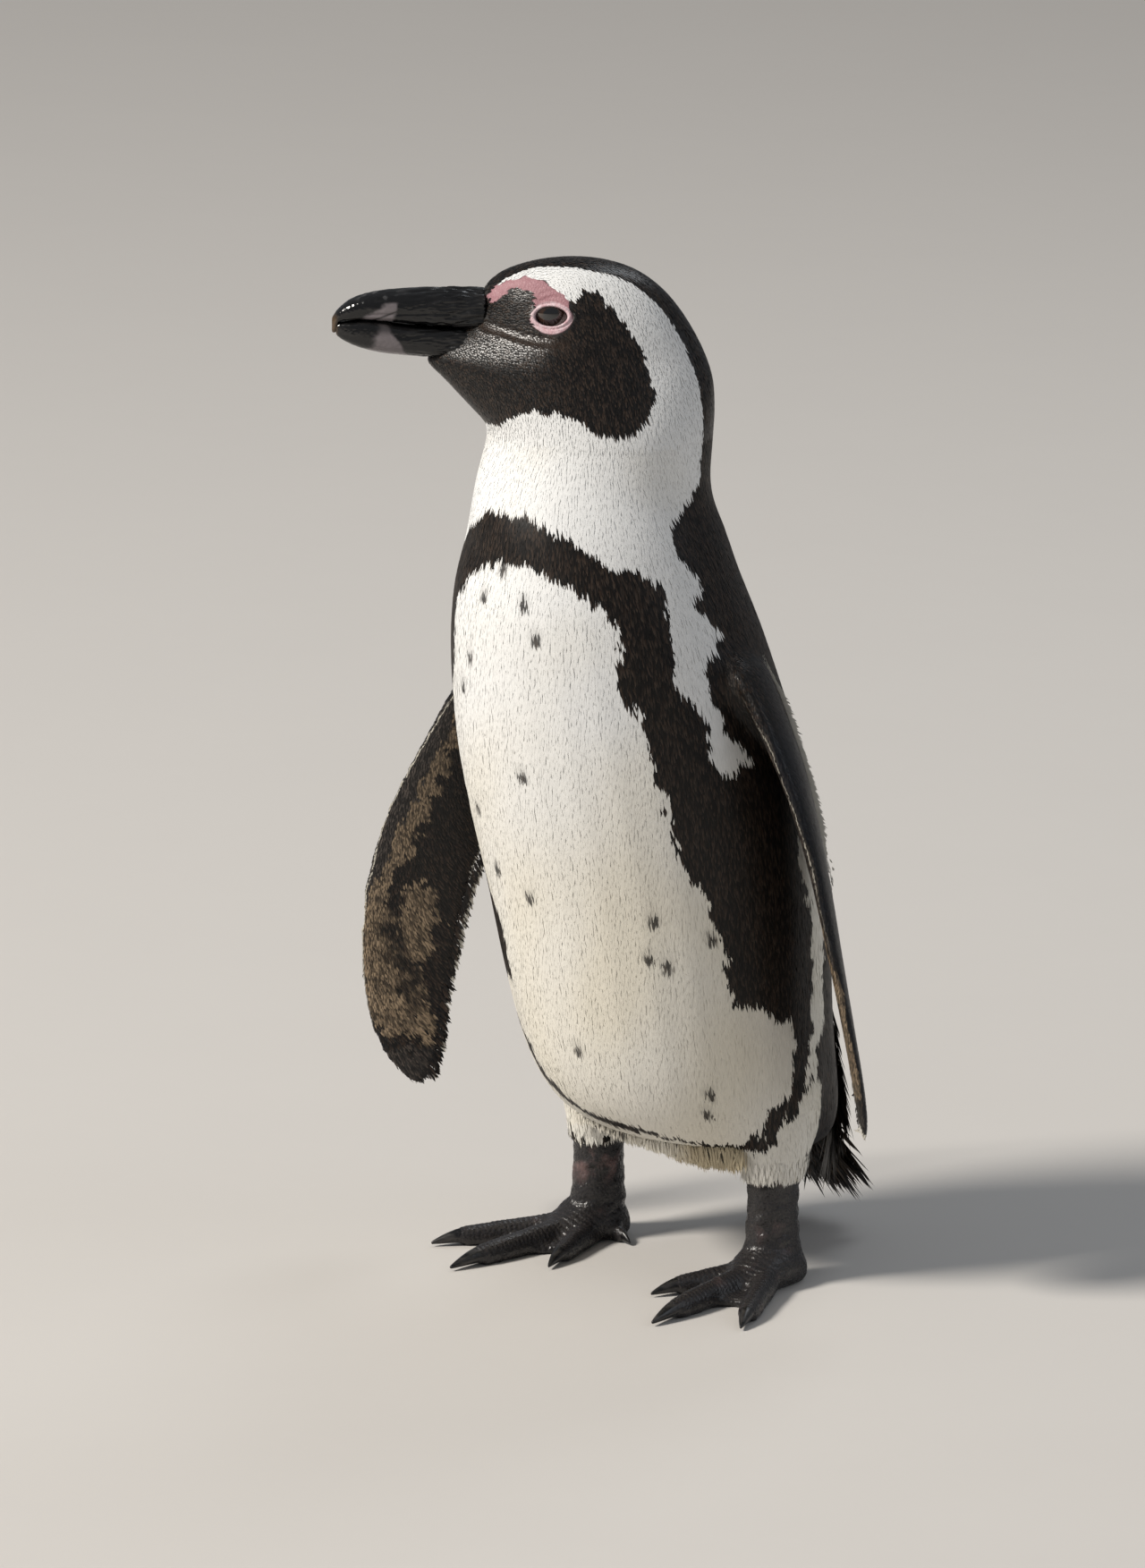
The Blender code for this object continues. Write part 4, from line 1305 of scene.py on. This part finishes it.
def unwrap(points):
    """A map of the body: angle round it and height, stretched over crown and belly."""
    angle, height = TORSO.place(points)
    radius = np.hypot(points[:, 0] - TORSO.x, points[:, 1] - TORSO.axis_y(points[:, 2])) / MM
    crown = FACE.centre[2] / MM - 12
    height = height + np.maximum(height - crown, 0) * 0.6 - radius * 0.35 * (height > crown)
    return angle, height + (radius - 75) * 0.6 * smoothstep(75, 55, height)


def feather_mesh(name, places, outward, rows, tones, chart, finish):
    """Join all feathers of a piece in one mesh with its values and its map."""
    count, each, _ = places.shape
    faces = (np.arange(count)[:, None, None] * each + vane_faces(len(rows))).reshape(-1, 3)
    mesh = bpy.data.meshes.new(name)
    mesh.vertices.add(count * each)
    mesh.vertices.foreach_set("co", places.reshape(-1).astype(np.float32))
    mesh.loops.add(faces.size)
    mesh.loops.foreach_set("vertex_index", faces.ravel().astype(np.int32))
    mesh.polygons.add(len(faces))
    mesh.polygons.foreach_set("loop_start", np.arange(0, faces.size, 3, dtype=np.int32))
    mesh.update(calc_edges=True)
    mesh.shade_smooth()
    tones = {key: np.repeat(np.broadcast_to(tone, count), each) for key, tone in tones.items()}
    shape = patch_shape(rows)
    for key, tone in {**tones, "along": np.tile(shape[:, 1], count)}.items():
        set_value(mesh, key, tone)
    spots = np.stack(chart, axis=1)
    low, high = spots.min(axis=0), spots.max(axis=0)
    corner = (spots - low) / np.maximum(high - low, 1e-9) * (1 - PATCH)
    uv = (corner[:, None, :] + PATCH * shape).reshape(-1, 2)[faces.ravel()]
    mesh.uv_layers.new(name="OFBake").uv.foreach_set("vector", uv.astype(np.float32).ravel())
    soften(mesh, np.repeat(outward, each, axis=0), tones["dark"])
    material, slot = finish
    finished(new_object(name, mesh), material)


def soften(mesh, outward, dark):
    """Shade white feathers nearly as one silky surface, and black ones less so."""
    share = (SILK_WHITE + (SILK_BLACK - SILK_WHITE) * dark)[:, None]
    facing = unit(mesh_normals(mesh) * (1 - share) + outward * share)
    mesh.normals_split_custom_set_from_vertices(facing.tolist())


def grow_coat(skin, name, chosen, spacing, length, look, seed, finish, adjust=None, chart=unwrap, unruly=1.0):
    """Plant, shape and colour the feathers of one piece of the coat."""
    rng = np.random.default_rng(seed)
    roots = roots_on_skin(chosen, spacing, seed)
    length = np.broadcast_to(length * (adjust(roots) if adjust else 1.0), roots.count)
    places = vane_points(roots, skin.laid, length, look, rng, VANE_ROWS, unruly=unruly)
    seen = roots.points + roots.lie * length[:, None] * SEEN_SHARE
    tones = {**plumage_tones(seen, roots.kinds, roots.part), "fold": roots.fold,
             "vary": rng.uniform(0, 1, roots.count)}
    feather_mesh(name, places, roots.normals, VANE_ROWS, tones, chart(roots.points), finish)


def loose_feathers(name, roots, length, look, tones, rng, chart, finish, rows=VANE_ROWS, curl=0.0):
    """Shape free feathers from given roots, without laying them on the skin."""
    places = vane_points(roots, None, length, look, rng, rows, curl)
    tones = {**dict.fromkeys(TONES, 0.0), **tones, "vary": rng.uniform(0, 1, roots.count)}
    feather_mesh(name, places, roots.normals, rows, tones, chart, finish)


def in_bill(points):
    """Which places are covered by the horn of the bill."""
    covered = np.zeros(len(points), bool)
    for name in SKIN_ON_BILL:
        surface = surface_of(node_mesh(name))
        for i, point in enumerate(points.tolist()):
            found, normal, _, _ = surface.find_nearest(point)
            covered[i] |= (Vector(point) - found).dot(normal) < 0.05 * MM
    return covered


def shorter_in_front(roots):
    """Shortest at the bill, longer over the nape and down the throat."""
    forward, _, up = FACE.place(roots.points)
    return np.interp(forward, (-40, 0, 30), (1.25, 0.85, 0.6)) * (1 + 0.5 * smoothstep(-32, -50, up))


class PENGUIN_OT_head_coat(bpy.types.Operator):
    """Plant the short scale-like feathers of the face, crown and throat"""
    bl_idname = "penguin.head_coat"
    bl_label = "Head feathers"

    def execute(self, context):
        sizes = context.scene.penguin_sizes
        skin = Skin()
        forward, _, _ = FACE.place(skin.points)
        bare = np.maximum(skin.value("pink"), skin.value("socket")) > 0.3
        head = (skin.kinds == "head") & ~bare & ~in_bill(skin.points)
        face = head & (forward > -8)
        finish = (coat_material("head_plumage", context.scene.penguin_colours, 0.30, 0.40), BLACK)
        for name, chosen, seed in (("coat_face", face, 101), ("coat_crown", head & ~face, 102)):
            grow_coat(skin, name, chosen, sizes.head_spacing, sizes.head_length, HEAD_VANE, seed, finish,
                      shorter_in_front)
        return {"FINISHED"}


def shorter_above(roots):
    """As short as the feathers of the head where the neck meets it."""
    return np.interp(FACE.place(roots.points)[2], (-75, -52), (1.1, 0.8))


def longer_below(roots):
    """Short on the thighs, long over the root of the tail."""
    angle, height = TORSO.place(roots.points)
    rear = smoothstep(115, 150, np.abs(angle)) * (1 - smoothstep(65, 115, height))
    return np.where(roots.kinds == "thigh", 0.8, 1 + 1.3 * rear)


class PENGUIN_OT_body_coat(bpy.types.Operator):
    """Plant the overlapping feathers of the neck, trunk and thighs"""
    bl_idname = "penguin.body_coat"
    bl_label = "Body feathers"

    def execute(self, context):
        sizes = context.scene.penguin_sizes
        skin = Skin()
        angle, height = TORSO.place(skin.points)
        material = coat_material("body_plumage", context.scene.penguin_colours, 0.46, 0.22)
        grow_coat(skin, "coat_neck", skin.kinds == "neck", sizes.neck_spacing, sizes.neck_length, NECK_VANE,
                  111, (material, WHITE), shorter_above)
        trunk = skin.kinds == "trunk"
        front, back = trunk & (np.abs(angle) <= FRONT_REACH), trunk & (np.abs(angle) > BACK_START)
        flank = trunk & ~front & ~back
        fields = (
            ("breast", front & (height > BREAST_FOOT), WHITE),
            ("belly", front & (height <= BREAST_FOOT), WHITE),
            ("flank_left", flank & (angle > 0), BLACK),
            ("flank_right", flank & (angle < 0), BLACK),
            ("back_upper", back & (height > UPPER_BACK_FOOT), BLACK),
            ("back_lower", back & (height <= UPPER_BACK_FOOT), BLACK),
            ("thighs", (skin.kinds == "thigh") & (skin.value("bare") < 0.5), WHITE),
        )
        for seed, (name, chosen, slot) in enumerate(fields, start=121):
            grow_coat(skin, "coat_" + name, chosen, sizes.body_spacing, sizes.body_length, BODY_VANE, seed,
                      (material, slot), longer_below)
        return {"FINISHED"}


def hem_ring(skin, side, seed, finish):
    """A fringe round the top of one leg, dark in places."""
    rng = np.random.default_rng(seed)
    count = HEM_COUNT
    level, dark_share = HEM[side]
    above = skin.points[:, 2] / MM - level
    chosen = (skin.part == FLESH.index("thigh_" + side)) & (above > 0.5) & (above < HEM_TALL)
    picked = rng.choice(np.flatnonzero(chosen), count)
    spread = rng.normal(0, 0.4 * MM, (count, 3))
    lie = skin.value("lie")[picked] + (0, 0, -0.8)
    roots = Roots(skin.points[picked] + spread, skin.normals[picked], lie, skin.part[picked])
    low = np.clip(1 - (roots.points[:, 2] / MM - level) / HEM_TALL, 0, 1)
    clumps = 0.5 + 0.5 * wobble(roots.points * np.array((1, 1, 0.2)), 0.012, seed)
    dark = (low > 0.72) & (clumps + rng.uniform(-0.2, 0.2, count) > 1.0 - dark_share)
    angle, height = TORSO.place(roots.points)
    dark |= mirrored(angle) > read_table(BACK_EDGE, height) + THIGH_BACK
    loose_feathers("hem_" + side, roots, 5.4 * MM, HEM_VANE, {"dark": dark, "warm": 0.6}, rng,
                   (angle, height), finish)


def belly_skirt(skin, finish):
    """Longer ragged feathers under the belly, stained tan beside the left leg."""
    rng = np.random.default_rng(191)
    count = SKIRT_COUNT
    angle, height = TORSO.place(skin.points)
    facing = skin.normals[:, 2]
    chosen = (skin.kinds == "trunk") & (mirrored(angle) < 80) & (height < 63)
    chosen &= (facing < -0.2) & (facing > -0.95)
    picked = rng.choice(np.flatnonzero(chosen), count)
    angle, height = angle[picked], height[picked]
    beside = smoothstep(2, 56, angle) * (1 - smoothstep(64, 76, angle))
    lean = np.column_stack((np.zeros(count), 0.25 + 0.2 * rng.normal(0, 1, count), np.full(count, -1.0)))
    spread = rng.normal(0, 0.6 * MM, (count, 3))
    roots = Roots(skin.points[picked] + spread, skin.normals[picked] + (0, 0, 0.8), lean, skin.part[picked])
    ragged = wobble(roots.points, 0.007, 192) + rng.uniform(-1, 1, count)
    length = (3.2 + 6.0 * beside + 1.1 * ragged) * MM
    dark = (rng.uniform(0, 1, count) < np.where(angle < 0, 0.30, 0.02)) & (height > 56)
    tones = {"warm": 0.9, "stain": smoothstep(0.35, 0.8, beside) * 0.8, "dark": 0.9 * dark}
    loose_feathers("belly_skirt", roots, length, HEM_VANE, tones, rng, (angle, height), finish)


class PENGUIN_OT_hems(bpy.types.Operator):
    """Hang the loose feathers below the belly and round the tops of the legs"""
    bl_idname = "penguin.hems"
    bl_label = "Hems"

    def execute(self, context):
        finish = (coat_material("hem_plumage", context.scene.penguin_colours, 0.5, 0.2), WHITE)
        skin = Skin()
        for seed, side in enumerate(HEM, start=181):
            hem_ring(skin, side, seed, finish)
        belly_skirt(skin, finish)
        return {"FINISHED"}


def longer_behind(roots):
    """Scales of a flipper's rear half grow longer toward the fringe."""
    across = np.zeros(roots.count)
    for blade in BLADES.values():
        chosen = roots.part == blade.part
        across[chosen] = blade.place(roots.points[chosen])[1]
    return np.interp(across, (-1.0, -0.7, -0.1, 0.5), (1.0, 1.6, 1.3, 0.9))


def rear_fringe(blade, length, seed, finish):
    """Longer feathers along the rear edge of a flipper, white at the tips."""
    rng = np.random.default_rng(seed)
    places = np.linspace(blade.low + 6 * MM, blade.high - 30 * MM, FRINGE_TEETH)
    teeth = np.repeat(places, FEATHERS_TO_A_TOOTH)
    count = 2 * len(teeth)
    layer = np.repeat((-1.0, 1.0), len(teeth)) * rng.uniform(0.2, 1, count)
    heights = np.tile(teeth, 2) + rng.normal(0, 0.3 * MM, count) * (1 + (layer > 0))
    centre, chord, reach, tipward = blade.at(heights)
    face = unit(np.cross(chord, tipward)) * blade.outward
    set_in = rng.uniform(2.2, 3.2, count) + 1.6 * (layer < 0)
    edge = centre - chord * (reach - set_in * MM)[:, None]
    roots = Roots(edge + face * (layer * 0.9 * MM)[:, None], face * np.sign(layer)[:, None],
                  tipward * 0.8 - chord * 0.6, blade.part)
    along = (blade.high - heights) / (blade.high - blade.low)
    chance = np.interp(along, (0.1, 0.5, 0.65, 0.9), (0.95, 0.85, 0.55, 0.25))
    pale = (rng.uniform(0, 1, count) < chance) & (layer > 0)
    loose_feathers("fringe_flipper_" + blade.side, roots, length, (1.0, 0.05),
                   {"dark": 1.0 - 0.85 * pale, "warm": 0.7}, rng, blade.unwrap(roots.points), finish)


def pale_rim(skin, blade, seed, finish):
    """A pale line of fine feathers down the inner side of a flipper's leading edge."""
    rng = np.random.default_rng(seed)
    count = RIM_COUNT
    low, high, pale = RIM[blade.side]
    along = rng.uniform(low, high, count)
    centre, chord, reach, tipward = blade.at(blade.height(along))
    inward = -unit(np.cross(chord, tipward)) * blade.outward
    guess = centre + chord * (reach - rng.uniform(0.5, 1.1, count) * MM)[:, None] + inward * 2.2 * MM
    roots = Roots(*skin.laid(guess, unit(chord + inward)), tipward, blade.part)
    ends = smoothstep(low, low + 0.05, along) * (1 - smoothstep(high - 0.25, high, along))
    loose_feathers("rim_flipper_" + blade.side, roots, 2.2 * MM, (0.32, 0.26),
                   {"dark": 1.0 - pale * ends, "warm": 1.0}, rng, blade.unwrap(roots.points), finish)


def white_down(skin, blade, seed, finish):
    """White hairy feathers that stand out along the upper part of a flipper's rear edge."""
    rng = np.random.default_rng(seed)
    count = DOWN_COUNT
    along = rng.uniform(0.03, 0.47, count)
    centre, chord, reach, tipward = blade.at(blade.height(along))
    outward = unit(np.cross(chord, tipward)) * blade.outward
    guess = centre - chord * (reach - rng.uniform(0.8, 8.0, count) * MM)[:, None] + outward * 1.5 * MM
    way = tipward * 0.85 + outward * 0.38 - chord * 0.25
    roots = Roots(skin.laid(guess, outward)[0], chord, way, blade.part)
    full = smoothstep(0.02, 0.16, along) * (1 - smoothstep(0.34, 0.47, along))
    length = (1.6 + 3.0 * full) * rng.uniform(0.8, 1.15, count) * MM
    loose_feathers("down_flipper_" + blade.side, roots, length, (0.7, 0.1), {"dark": 0.08, "warm": 0.6}, rng,
                   blade.unwrap(roots.points), finish)


class PENGUIN_OT_flipper_coat(bpy.types.Operator):
    """Plant the tiny scale feathers of the flippers and the fringe behind them"""
    bl_idname = "penguin.flipper_coat"
    bl_label = "Flipper feathers"

    def execute(self, context):
        sizes = context.scene.penguin_sizes
        skin = Skin()
        material = coat_material("flipper_plumage", context.scene.penguin_colours, 0.36, 0.3)
        for index, (side, blade) in enumerate(BLADES.items()):
            grow_coat(skin, "coat_flipper_" + side, skin.part == blade.part, sizes.flipper_spacing,
                      sizes.flipper_length, FLIPPER_VANE, 141 + index, (material, BLACK), longer_behind,
                      blade.unwrap)
            rear_fringe(blade, sizes.fringe_length, 151 + index, (material, BLACK))
            pale_rim(skin, blade, 153 + index, (material, BLACK))
            white_down(skin, blade, 155 + index, (material, WHITE))
        return {"FINISHED"}


def tail_coverts(skin, finish):
    """Loose feathers from the lower back down over the root of the tail."""
    rng = np.random.default_rng(165)
    count = COVERT_COUNT
    angle, height = TORSO.place(skin.points)
    ragged_top = 94 + 24 * rng.uniform(-1, 1, len(skin.points))
    chosen = (skin.kinds == "trunk") & (np.abs(angle) > 138) & (height > 58) & (height < ragged_top)
    picked = rng.choice(np.flatnonzero(chosen), count)
    normals = skin.normals[picked]
    way = TAIL_WAY + 0.02 * normals + rng.normal(0, 0.045, (count, 3))
    roots = Roots(skin.points[picked], normals + (0, 0.6, 0.4), way, skin.part[picked])
    length = np.interp(roots.points[:, 2] / MM, (58, 112), (30, 17)) * rng.uniform(0.75, 1.1, count) * MM
    loose_feathers("tail_coverts", roots, length, (1.3, 0.6),
                   {"dark": 1.0, "tan": rng.uniform(0, 0.14, count)}, rng, TORSO.place(roots.points), finish,
                   COVERT_ROWS)


def tail_quills(longest, finish):
    """Long narrow tail feathers in a flat ragged fan."""
    rng = np.random.default_rng(171)
    count = QUILL_COUNT
    across = rng.uniform(-1, 1, count)
    layer = rng.uniform(-1, 1, count)
    half = (TAIL_HIGH[0] - TAIL_LOW[0]) / 2
    left = np.array((1.0, 0, 0))
    upward = unit(np.cross(left, TAIL_WAY))
    upward = upward if upward[2] > 0 else -upward
    set_in = rng.uniform(0.010, 0.045, count)
    start = TAIL_ROOT + TAIL_WAY * set_in[:, None] + left * (across * half * 0.55)[:, None]
    start = start + upward * (layer * (5.5 - 60 * set_in) * MM)[:, None]
    fan = np.column_stack((across * 0.14, np.zeros((count, 2))))
    lie = TAIL_WAY + fan - upward * (layer * 0.06)[:, None]
    roots = Roots(start, np.tile(upward, (count, 1)), lie, FLESH.index("tail"))
    length = np.minimum(longest, TAIL_SPAN - set_in) * (1 - 0.18 * across ** 2)
    length = length * rng.uniform(0.62, 1.0, count) ** 0.7
    loose_feathers("tail_quills", roots, length, (rng.uniform(1.3, 2.6, count), 0.4),
                   {"dark": 1.0, "tan": rng.uniform(0, 0.18, count)}, rng, (across, layer), finish,
                   QUILL_ROWS, rng.uniform(-1.0, 3.0, count) * MM)


class PENGUIN_OT_tail(bpy.types.Operator):
    """Plant the coverts and the stiff ragged feathers of the tail"""
    bl_idname = "penguin.tail"
    bl_label = "Tail feathers"

    def execute(self, context):
        skin = Skin()
        finish = (coat_material("tail_plumage", context.scene.penguin_colours, 0.44, 0.3), BLACK)
        grow_coat(skin, "coat_tail", skin.kinds == "tail", 1.2 * MM, 17 * MM, (1.5, 3.5), 161, finish,
                  unruly=2.0)
        tail_coverts(skin, finish)
        tail_quills(context.scene.penguin_sizes.tail_length, finish)
        return {"FINISHED"}


# ---------------------------------------------------------------- bill, eyes, claws

def horn_relief(points, upper):
    """Height of the horn's long grooves, fine wrinkles near the base and rounded ridge on top."""
    forward, left, up = FACE.place(points)
    stretched = np.column_stack((forward * 0.16, left, up + 0.12 * forward))
    wrinkles = frayed(0.0, stretched, (1.0, 2.2, 71), (0.7, 1.2, 72))
    height = 0.40 * wrinkles * (1 - smoothstep(34, 68, forward))
    height += 0.05 * wobble(np.column_stack((forward * 0.2, left, up)), 0.8, 73)
    if not upper:
        line = -16.0 + 0.06 * (forward - 30)
        return height - 0.25 * hump(up, line, 0.7) * (1 - smoothstep(50, 66, forward))
    groove = hump(up, -1.2 - 0.045 * (forward - 40), 0.55) * smoothstep(30, 36, forward)
    height -= 0.42 * groove * (1 - smoothstep(74, 84, forward))
    ridge = hump(left, 0, 2.2) * smoothstep(-2, 4, up)
    height += 0.30 * ridge * (1 - smoothstep(84, 90, forward))
    side = hump(np.abs(left), 3.9, 1.0) * smoothstep(0, 4, up)
    height -= 0.22 * side * (1 - smoothstep(60, 74, forward))
    return height + 0.10 * wobble(points, 0.0045, 74) * smoothstep(58, 74, forward) * smoothstep(1, 5, up)


def grooved(points, normals, upper):
    """The horn with its relief, and the tip of the lower half drawn out to meet the upper."""
    height = horn_relief(points, upper)
    if not upper:
        forward, _, up = FACE.place(points)
        points = points + FACE.ahead * (1.2 * MM * smoothstep(81, 87, forward))[:, None]
        points[:, 2] += 0.7 * MM * smoothstep(62, 80, forward) * smoothstep(-12, -8, up)
    return points + normals * (height * MM)[:, None]


def horn_values(points, upper):
    """Where the horn is pale, worn or rough, and where speckled highlights are painted along its top."""
    forward, _, up = FACE.place(points)
    soft = frayed(0.0, points, (1.6, 0.007, 75), (0.8, 0.003, 76))
    if upper:
        front = 80.5 - (up + 5.3) * 1.5
        rear = 64.8 - 0.3 * (up + 2)
        band = smoothstep(rear - 0.8, rear + 1.2, forward + 0.5 * soft)
        band *= 1 - smoothstep(front - 3.0, front + 0.5, forward + 0.6 * soft)
        band *= 1 - smoothstep(1.8, 3.2, up)
        band *= 1 - 0.9 * hump(up + 4.8, 0.425 * (73.1 - forward), 0.42)
        # Painted highlight: speckles along the top of the upper bill stand in for its wet glints; the lower
        # bill has none.
        ridge_highlight = smoothstep(0.35, 0.8, wobble(points, 0.0035, 77)) * smoothstep(2.0, 5.5, up)
    else:
        depth = -9.0 - up
        front = 73.0 + 0.4 * depth
        rear = 67.3 - 0.7 * depth
        band = smoothstep(rear - 0.8, rear + 1.0, forward + 0.4 * soft)
        band *= 1 - smoothstep(front - 3.5, front + 1.0, forward + 0.6 * soft)
        band *= 0.25 + 0.75 * smoothstep(-8.5, -12.5, up)
        ridge_highlight = 0 * up
    tip = smoothstep(88.3, 90.6, forward) * (1 - smoothstep(-6, -2, up))
    return {"band": np.clip(band, 0, 1) * 0.85, "tip": tip * 0.4,
            "ridge_highlight": ridge_highlight * smoothstep(56, 74, forward) * 0.35, "base": 1 - smoothstep(30, 58, forward)}


class PENGUIN_OT_bill(bpy.types.Operator):
    """Shape the ridged and grooved horn of both halves of the bill"""
    bl_idname = "penguin.bill"
    bl_label = "Bill"

    def execute(self, context):
        material = bill_material(context.scene.penguin_colours)
        for name in SKIN_ON_BILL:
            upper = name == "bill_upper"
            shape = bmesh.new()
            add_solid(shape, name, HORN_GROWTH * MM)
            made = remeshed(name + "_horn", shape, context.scene.penguin_sizes.bill_grain)
            mesh = made.data
            near = Neighbours(mesh)
            points = near.relaxed(mesh_points(mesh), 16)
            set_points(mesh, points)
            _, outside = part_of_points(points, (name,))
            points = points - mesh_normals(mesh) * near.relaxed(outside - HORN_GROWTH * MM, 20)[:, None]
            set_points(mesh, points)
            points = grooved(points, mesh_normals(mesh), upper)
            set_points(mesh, points)
            for key, values in horn_values(points, upper).items():
                set_value(mesh, key, values)
            mesh.shade_smooth()
            finished(made, material, (name,))
        return {"FINISHED"}


class PENGUIN_OT_eyes(bpy.types.Operator):
    """Set a domed eye with iris and pupil behind each pair of lids"""
    bl_idname = "penguin.eyes"
    bl_label = "Eyes"

    def execute(self, context):
        material = eye_material(context.scene.penguin_colours)
        forward, left, up = FACE.place(mesh_points(bpy.data.objects["skin"].data))
        opening = ellipse_share(forward, up, EYE_OPENING)
        rim = (opening > 1.10) & (opening < 1.25)
        radius = EYE_RADIUS * MM
        for name, side in SIDES.items():
            lid = np.median(left[rim & (left * side > 8)] * side)
            axis = Vector(FACE.left * side)
            shape = bmesh.new()
            bmesh.ops.create_uvsphere(shape, u_segments=72, v_segments=48, radius=radius)
            shape.transform(Vector((0, 0, 1)).rotation_difference(axis).to_matrix().to_4x4())
            mesh = mesh_from(shape, "eyeball_" + name)
            points = mesh_points(mesh)
            off_axis = np.sqrt(np.maximum(radius ** 2 - (points @ np.array(axis)) ** 2, 0))
            set_value(mesh, "iris", off_axis / (IRIS_RADIUS * MM))
            set_points(mesh, points + FACE.point(0.0, side * (lid - EYE_SET_IN - EYE_RADIUS), 0.0))
            mesh.shade_smooth()
            finished(new_object("eyeball_" + name, mesh), material, ("eye_" + name,))
        return {"FINISHED"}


class PENGUIN_OT_claws(bpy.types.Operator):
    """Round off the curved claws of both feet"""
    bl_idname = "penguin.claws"
    bl_label = "Claws"

    def execute(self, context):
        material = claw_material(context.scene.penguin_colours)
        for side in SIDES:
            nodes = [f"claw_{toe}_{side}" for toe in TOES]
            shape = bmesh.new()
            for node in nodes:
                add_solid(shape, node, 0.0)
            made = remeshed("claws_" + side, shape, CLAW_GRAIN * MM)
            mesh = made.data
            points = Neighbours(mesh).relaxed(mesh_points(mesh), 10)
            points = points + mesh_normals(mesh) * CLAW_GROWTH * MM
            points[:, 2] = np.maximum(points[:, 2], 0.02 * MM)
            set_points(mesh, points)
            mesh.shade_smooth()
            finished(made, material, nodes)
        return {"FINISHED"}


# ---------------------------------------------------------------- stage

def aimed(name, data, stage, azimuth, elevation, distance):
    """Hang a lamp or a camera round the bird, turned toward it."""
    made = new_object(name, data)
    level = math.cos(elevation)
    way = Vector((math.sin(azimuth) * level, -math.cos(azimuth) * level, math.sin(elevation)))
    made.location = Vector(stage.aim) + way * distance
    made.rotation_euler = way.to_track_quat("Z", "Y").to_euler()
    return made


def lay_floor(stage):
    """A wide pale floor just under the soles."""
    shape = bmesh.new()
    bmesh.ops.create_circle(shape, cap_ends=True, segments=96, radius=14.0)
    made = new_object("floor", mesh_from(shape, "floor"))
    made.location = (0, 0, -0.0002)
    shader = Shader("pale_floor")
    mottle = shader.noise(9.0, 5.0)
    colour = shader.blend(shader.ramp(mottle, 0.35, 0.65, 0.0, 0.10), stage.floor, (0.50, 0.48, 0.46))
    shader.finish(Base_Color=colour, Roughness=shader.ramp(mottle, 0.3, 0.7, 0.75, 0.85))
    made.data.materials.append(shader.material)


def hang_lights(stage):
    """Three round soft lamps, and even light all round."""
    powers = (stage.key_power, stage.fill_power, stage.fill_power * RIM_LIGHT_SHARE)
    for (name, azimuth, elevation, distance, size, colour), power in zip(LAMPS, powers):
        light = bpy.data.lights.new(name, "AREA")
        light.shape = "DISK"
        light.size = size
        light.energy = power
        light.color = colour
        aimed(name, light, stage, math.radians(azimuth), math.radians(elevation), distance)
    world = bpy.data.worlds.new("surroundings")
    world.use_nodes = True
    back = world.node_tree.nodes["Background"]
    back.inputs["Color"].default_value = (0.90, 0.94, 1.0, 1.0)
    back.inputs["Strength"].default_value = stage.sky_light
    bpy.context.scene.world = world


class PENGUIN_OT_stage(bpy.types.Operator):
    """Lay the pale floor, hang the soft lights and place the camera"""
    bl_idname = "penguin.stage"
    bl_label = "Stage"

    def execute(self, context):
        stage = context.scene.penguin_stage
        lay_floor(stage)
        hang_lights(stage)
        camera = bpy.data.cameras.new("camera")
        camera.lens = stage.lens
        camera.sensor_width = 36.0
        camera.clip_end = 60.0
        context.scene.camera = aimed("camera", camera, stage, stage.azimuth, stage.elevation, stage.distance)
        context.scene.view_settings.view_transform = "Standard"
        return {"FINISHED"}


class PENGUIN_PT_panel(bpy.types.Panel):
    """Sizes, colours and steps of the penguin"""
    bl_idname = "PENGUIN_PT_panel"
    bl_label = "Penguin"
    bl_space_type = "VIEW_3D"
    bl_region_type = "UI"
    bl_category = "Penguin"

    def draw(self, context):
        layout = self.layout
        for step in STEPS:
            layout.operator(step.bl_idname)
        for name, kind in SETTINGS.items():
            box = layout.box()
            for key in kind.__annotations__:
                box.prop(getattr(context.scene, name), key)


STEPS = (PENGUIN_OT_skin, PENGUIN_OT_head_coat, PENGUIN_OT_body_coat, PENGUIN_OT_hems,
         PENGUIN_OT_flipper_coat, PENGUIN_OT_tail, PENGUIN_OT_bill, PENGUIN_OT_eyes, PENGUIN_OT_claws,
         PENGUIN_OT_stage)
SETTINGS = {"penguin_sizes": PenguinSizes, "penguin_colours": PenguinColours, "penguin_stage": PenguinStage}
CLASSES = (*SETTINGS.values(), *STEPS, PENGUIN_PT_panel)


def register():
    for item in CLASSES:
        bpy.utils.register_class(item)
    for name, group in SETTINGS.items():
        setattr(bpy.types.Scene, name, bpy.props.PointerProperty(type=group))


def unregister():
    for name in SETTINGS:
        delattr(bpy.types.Scene, name)
    for item in reversed(CLASSES):
        bpy.utils.unregister_class(item)


def main():
    """Make every piece in order."""
    register()
    for step in STEPS:
        section, name = step.bl_idname.split(".")
        getattr(getattr(bpy.ops, section), name)()
    bpy.context.view_layer.update()


if __name__ == "__main__":
    main()
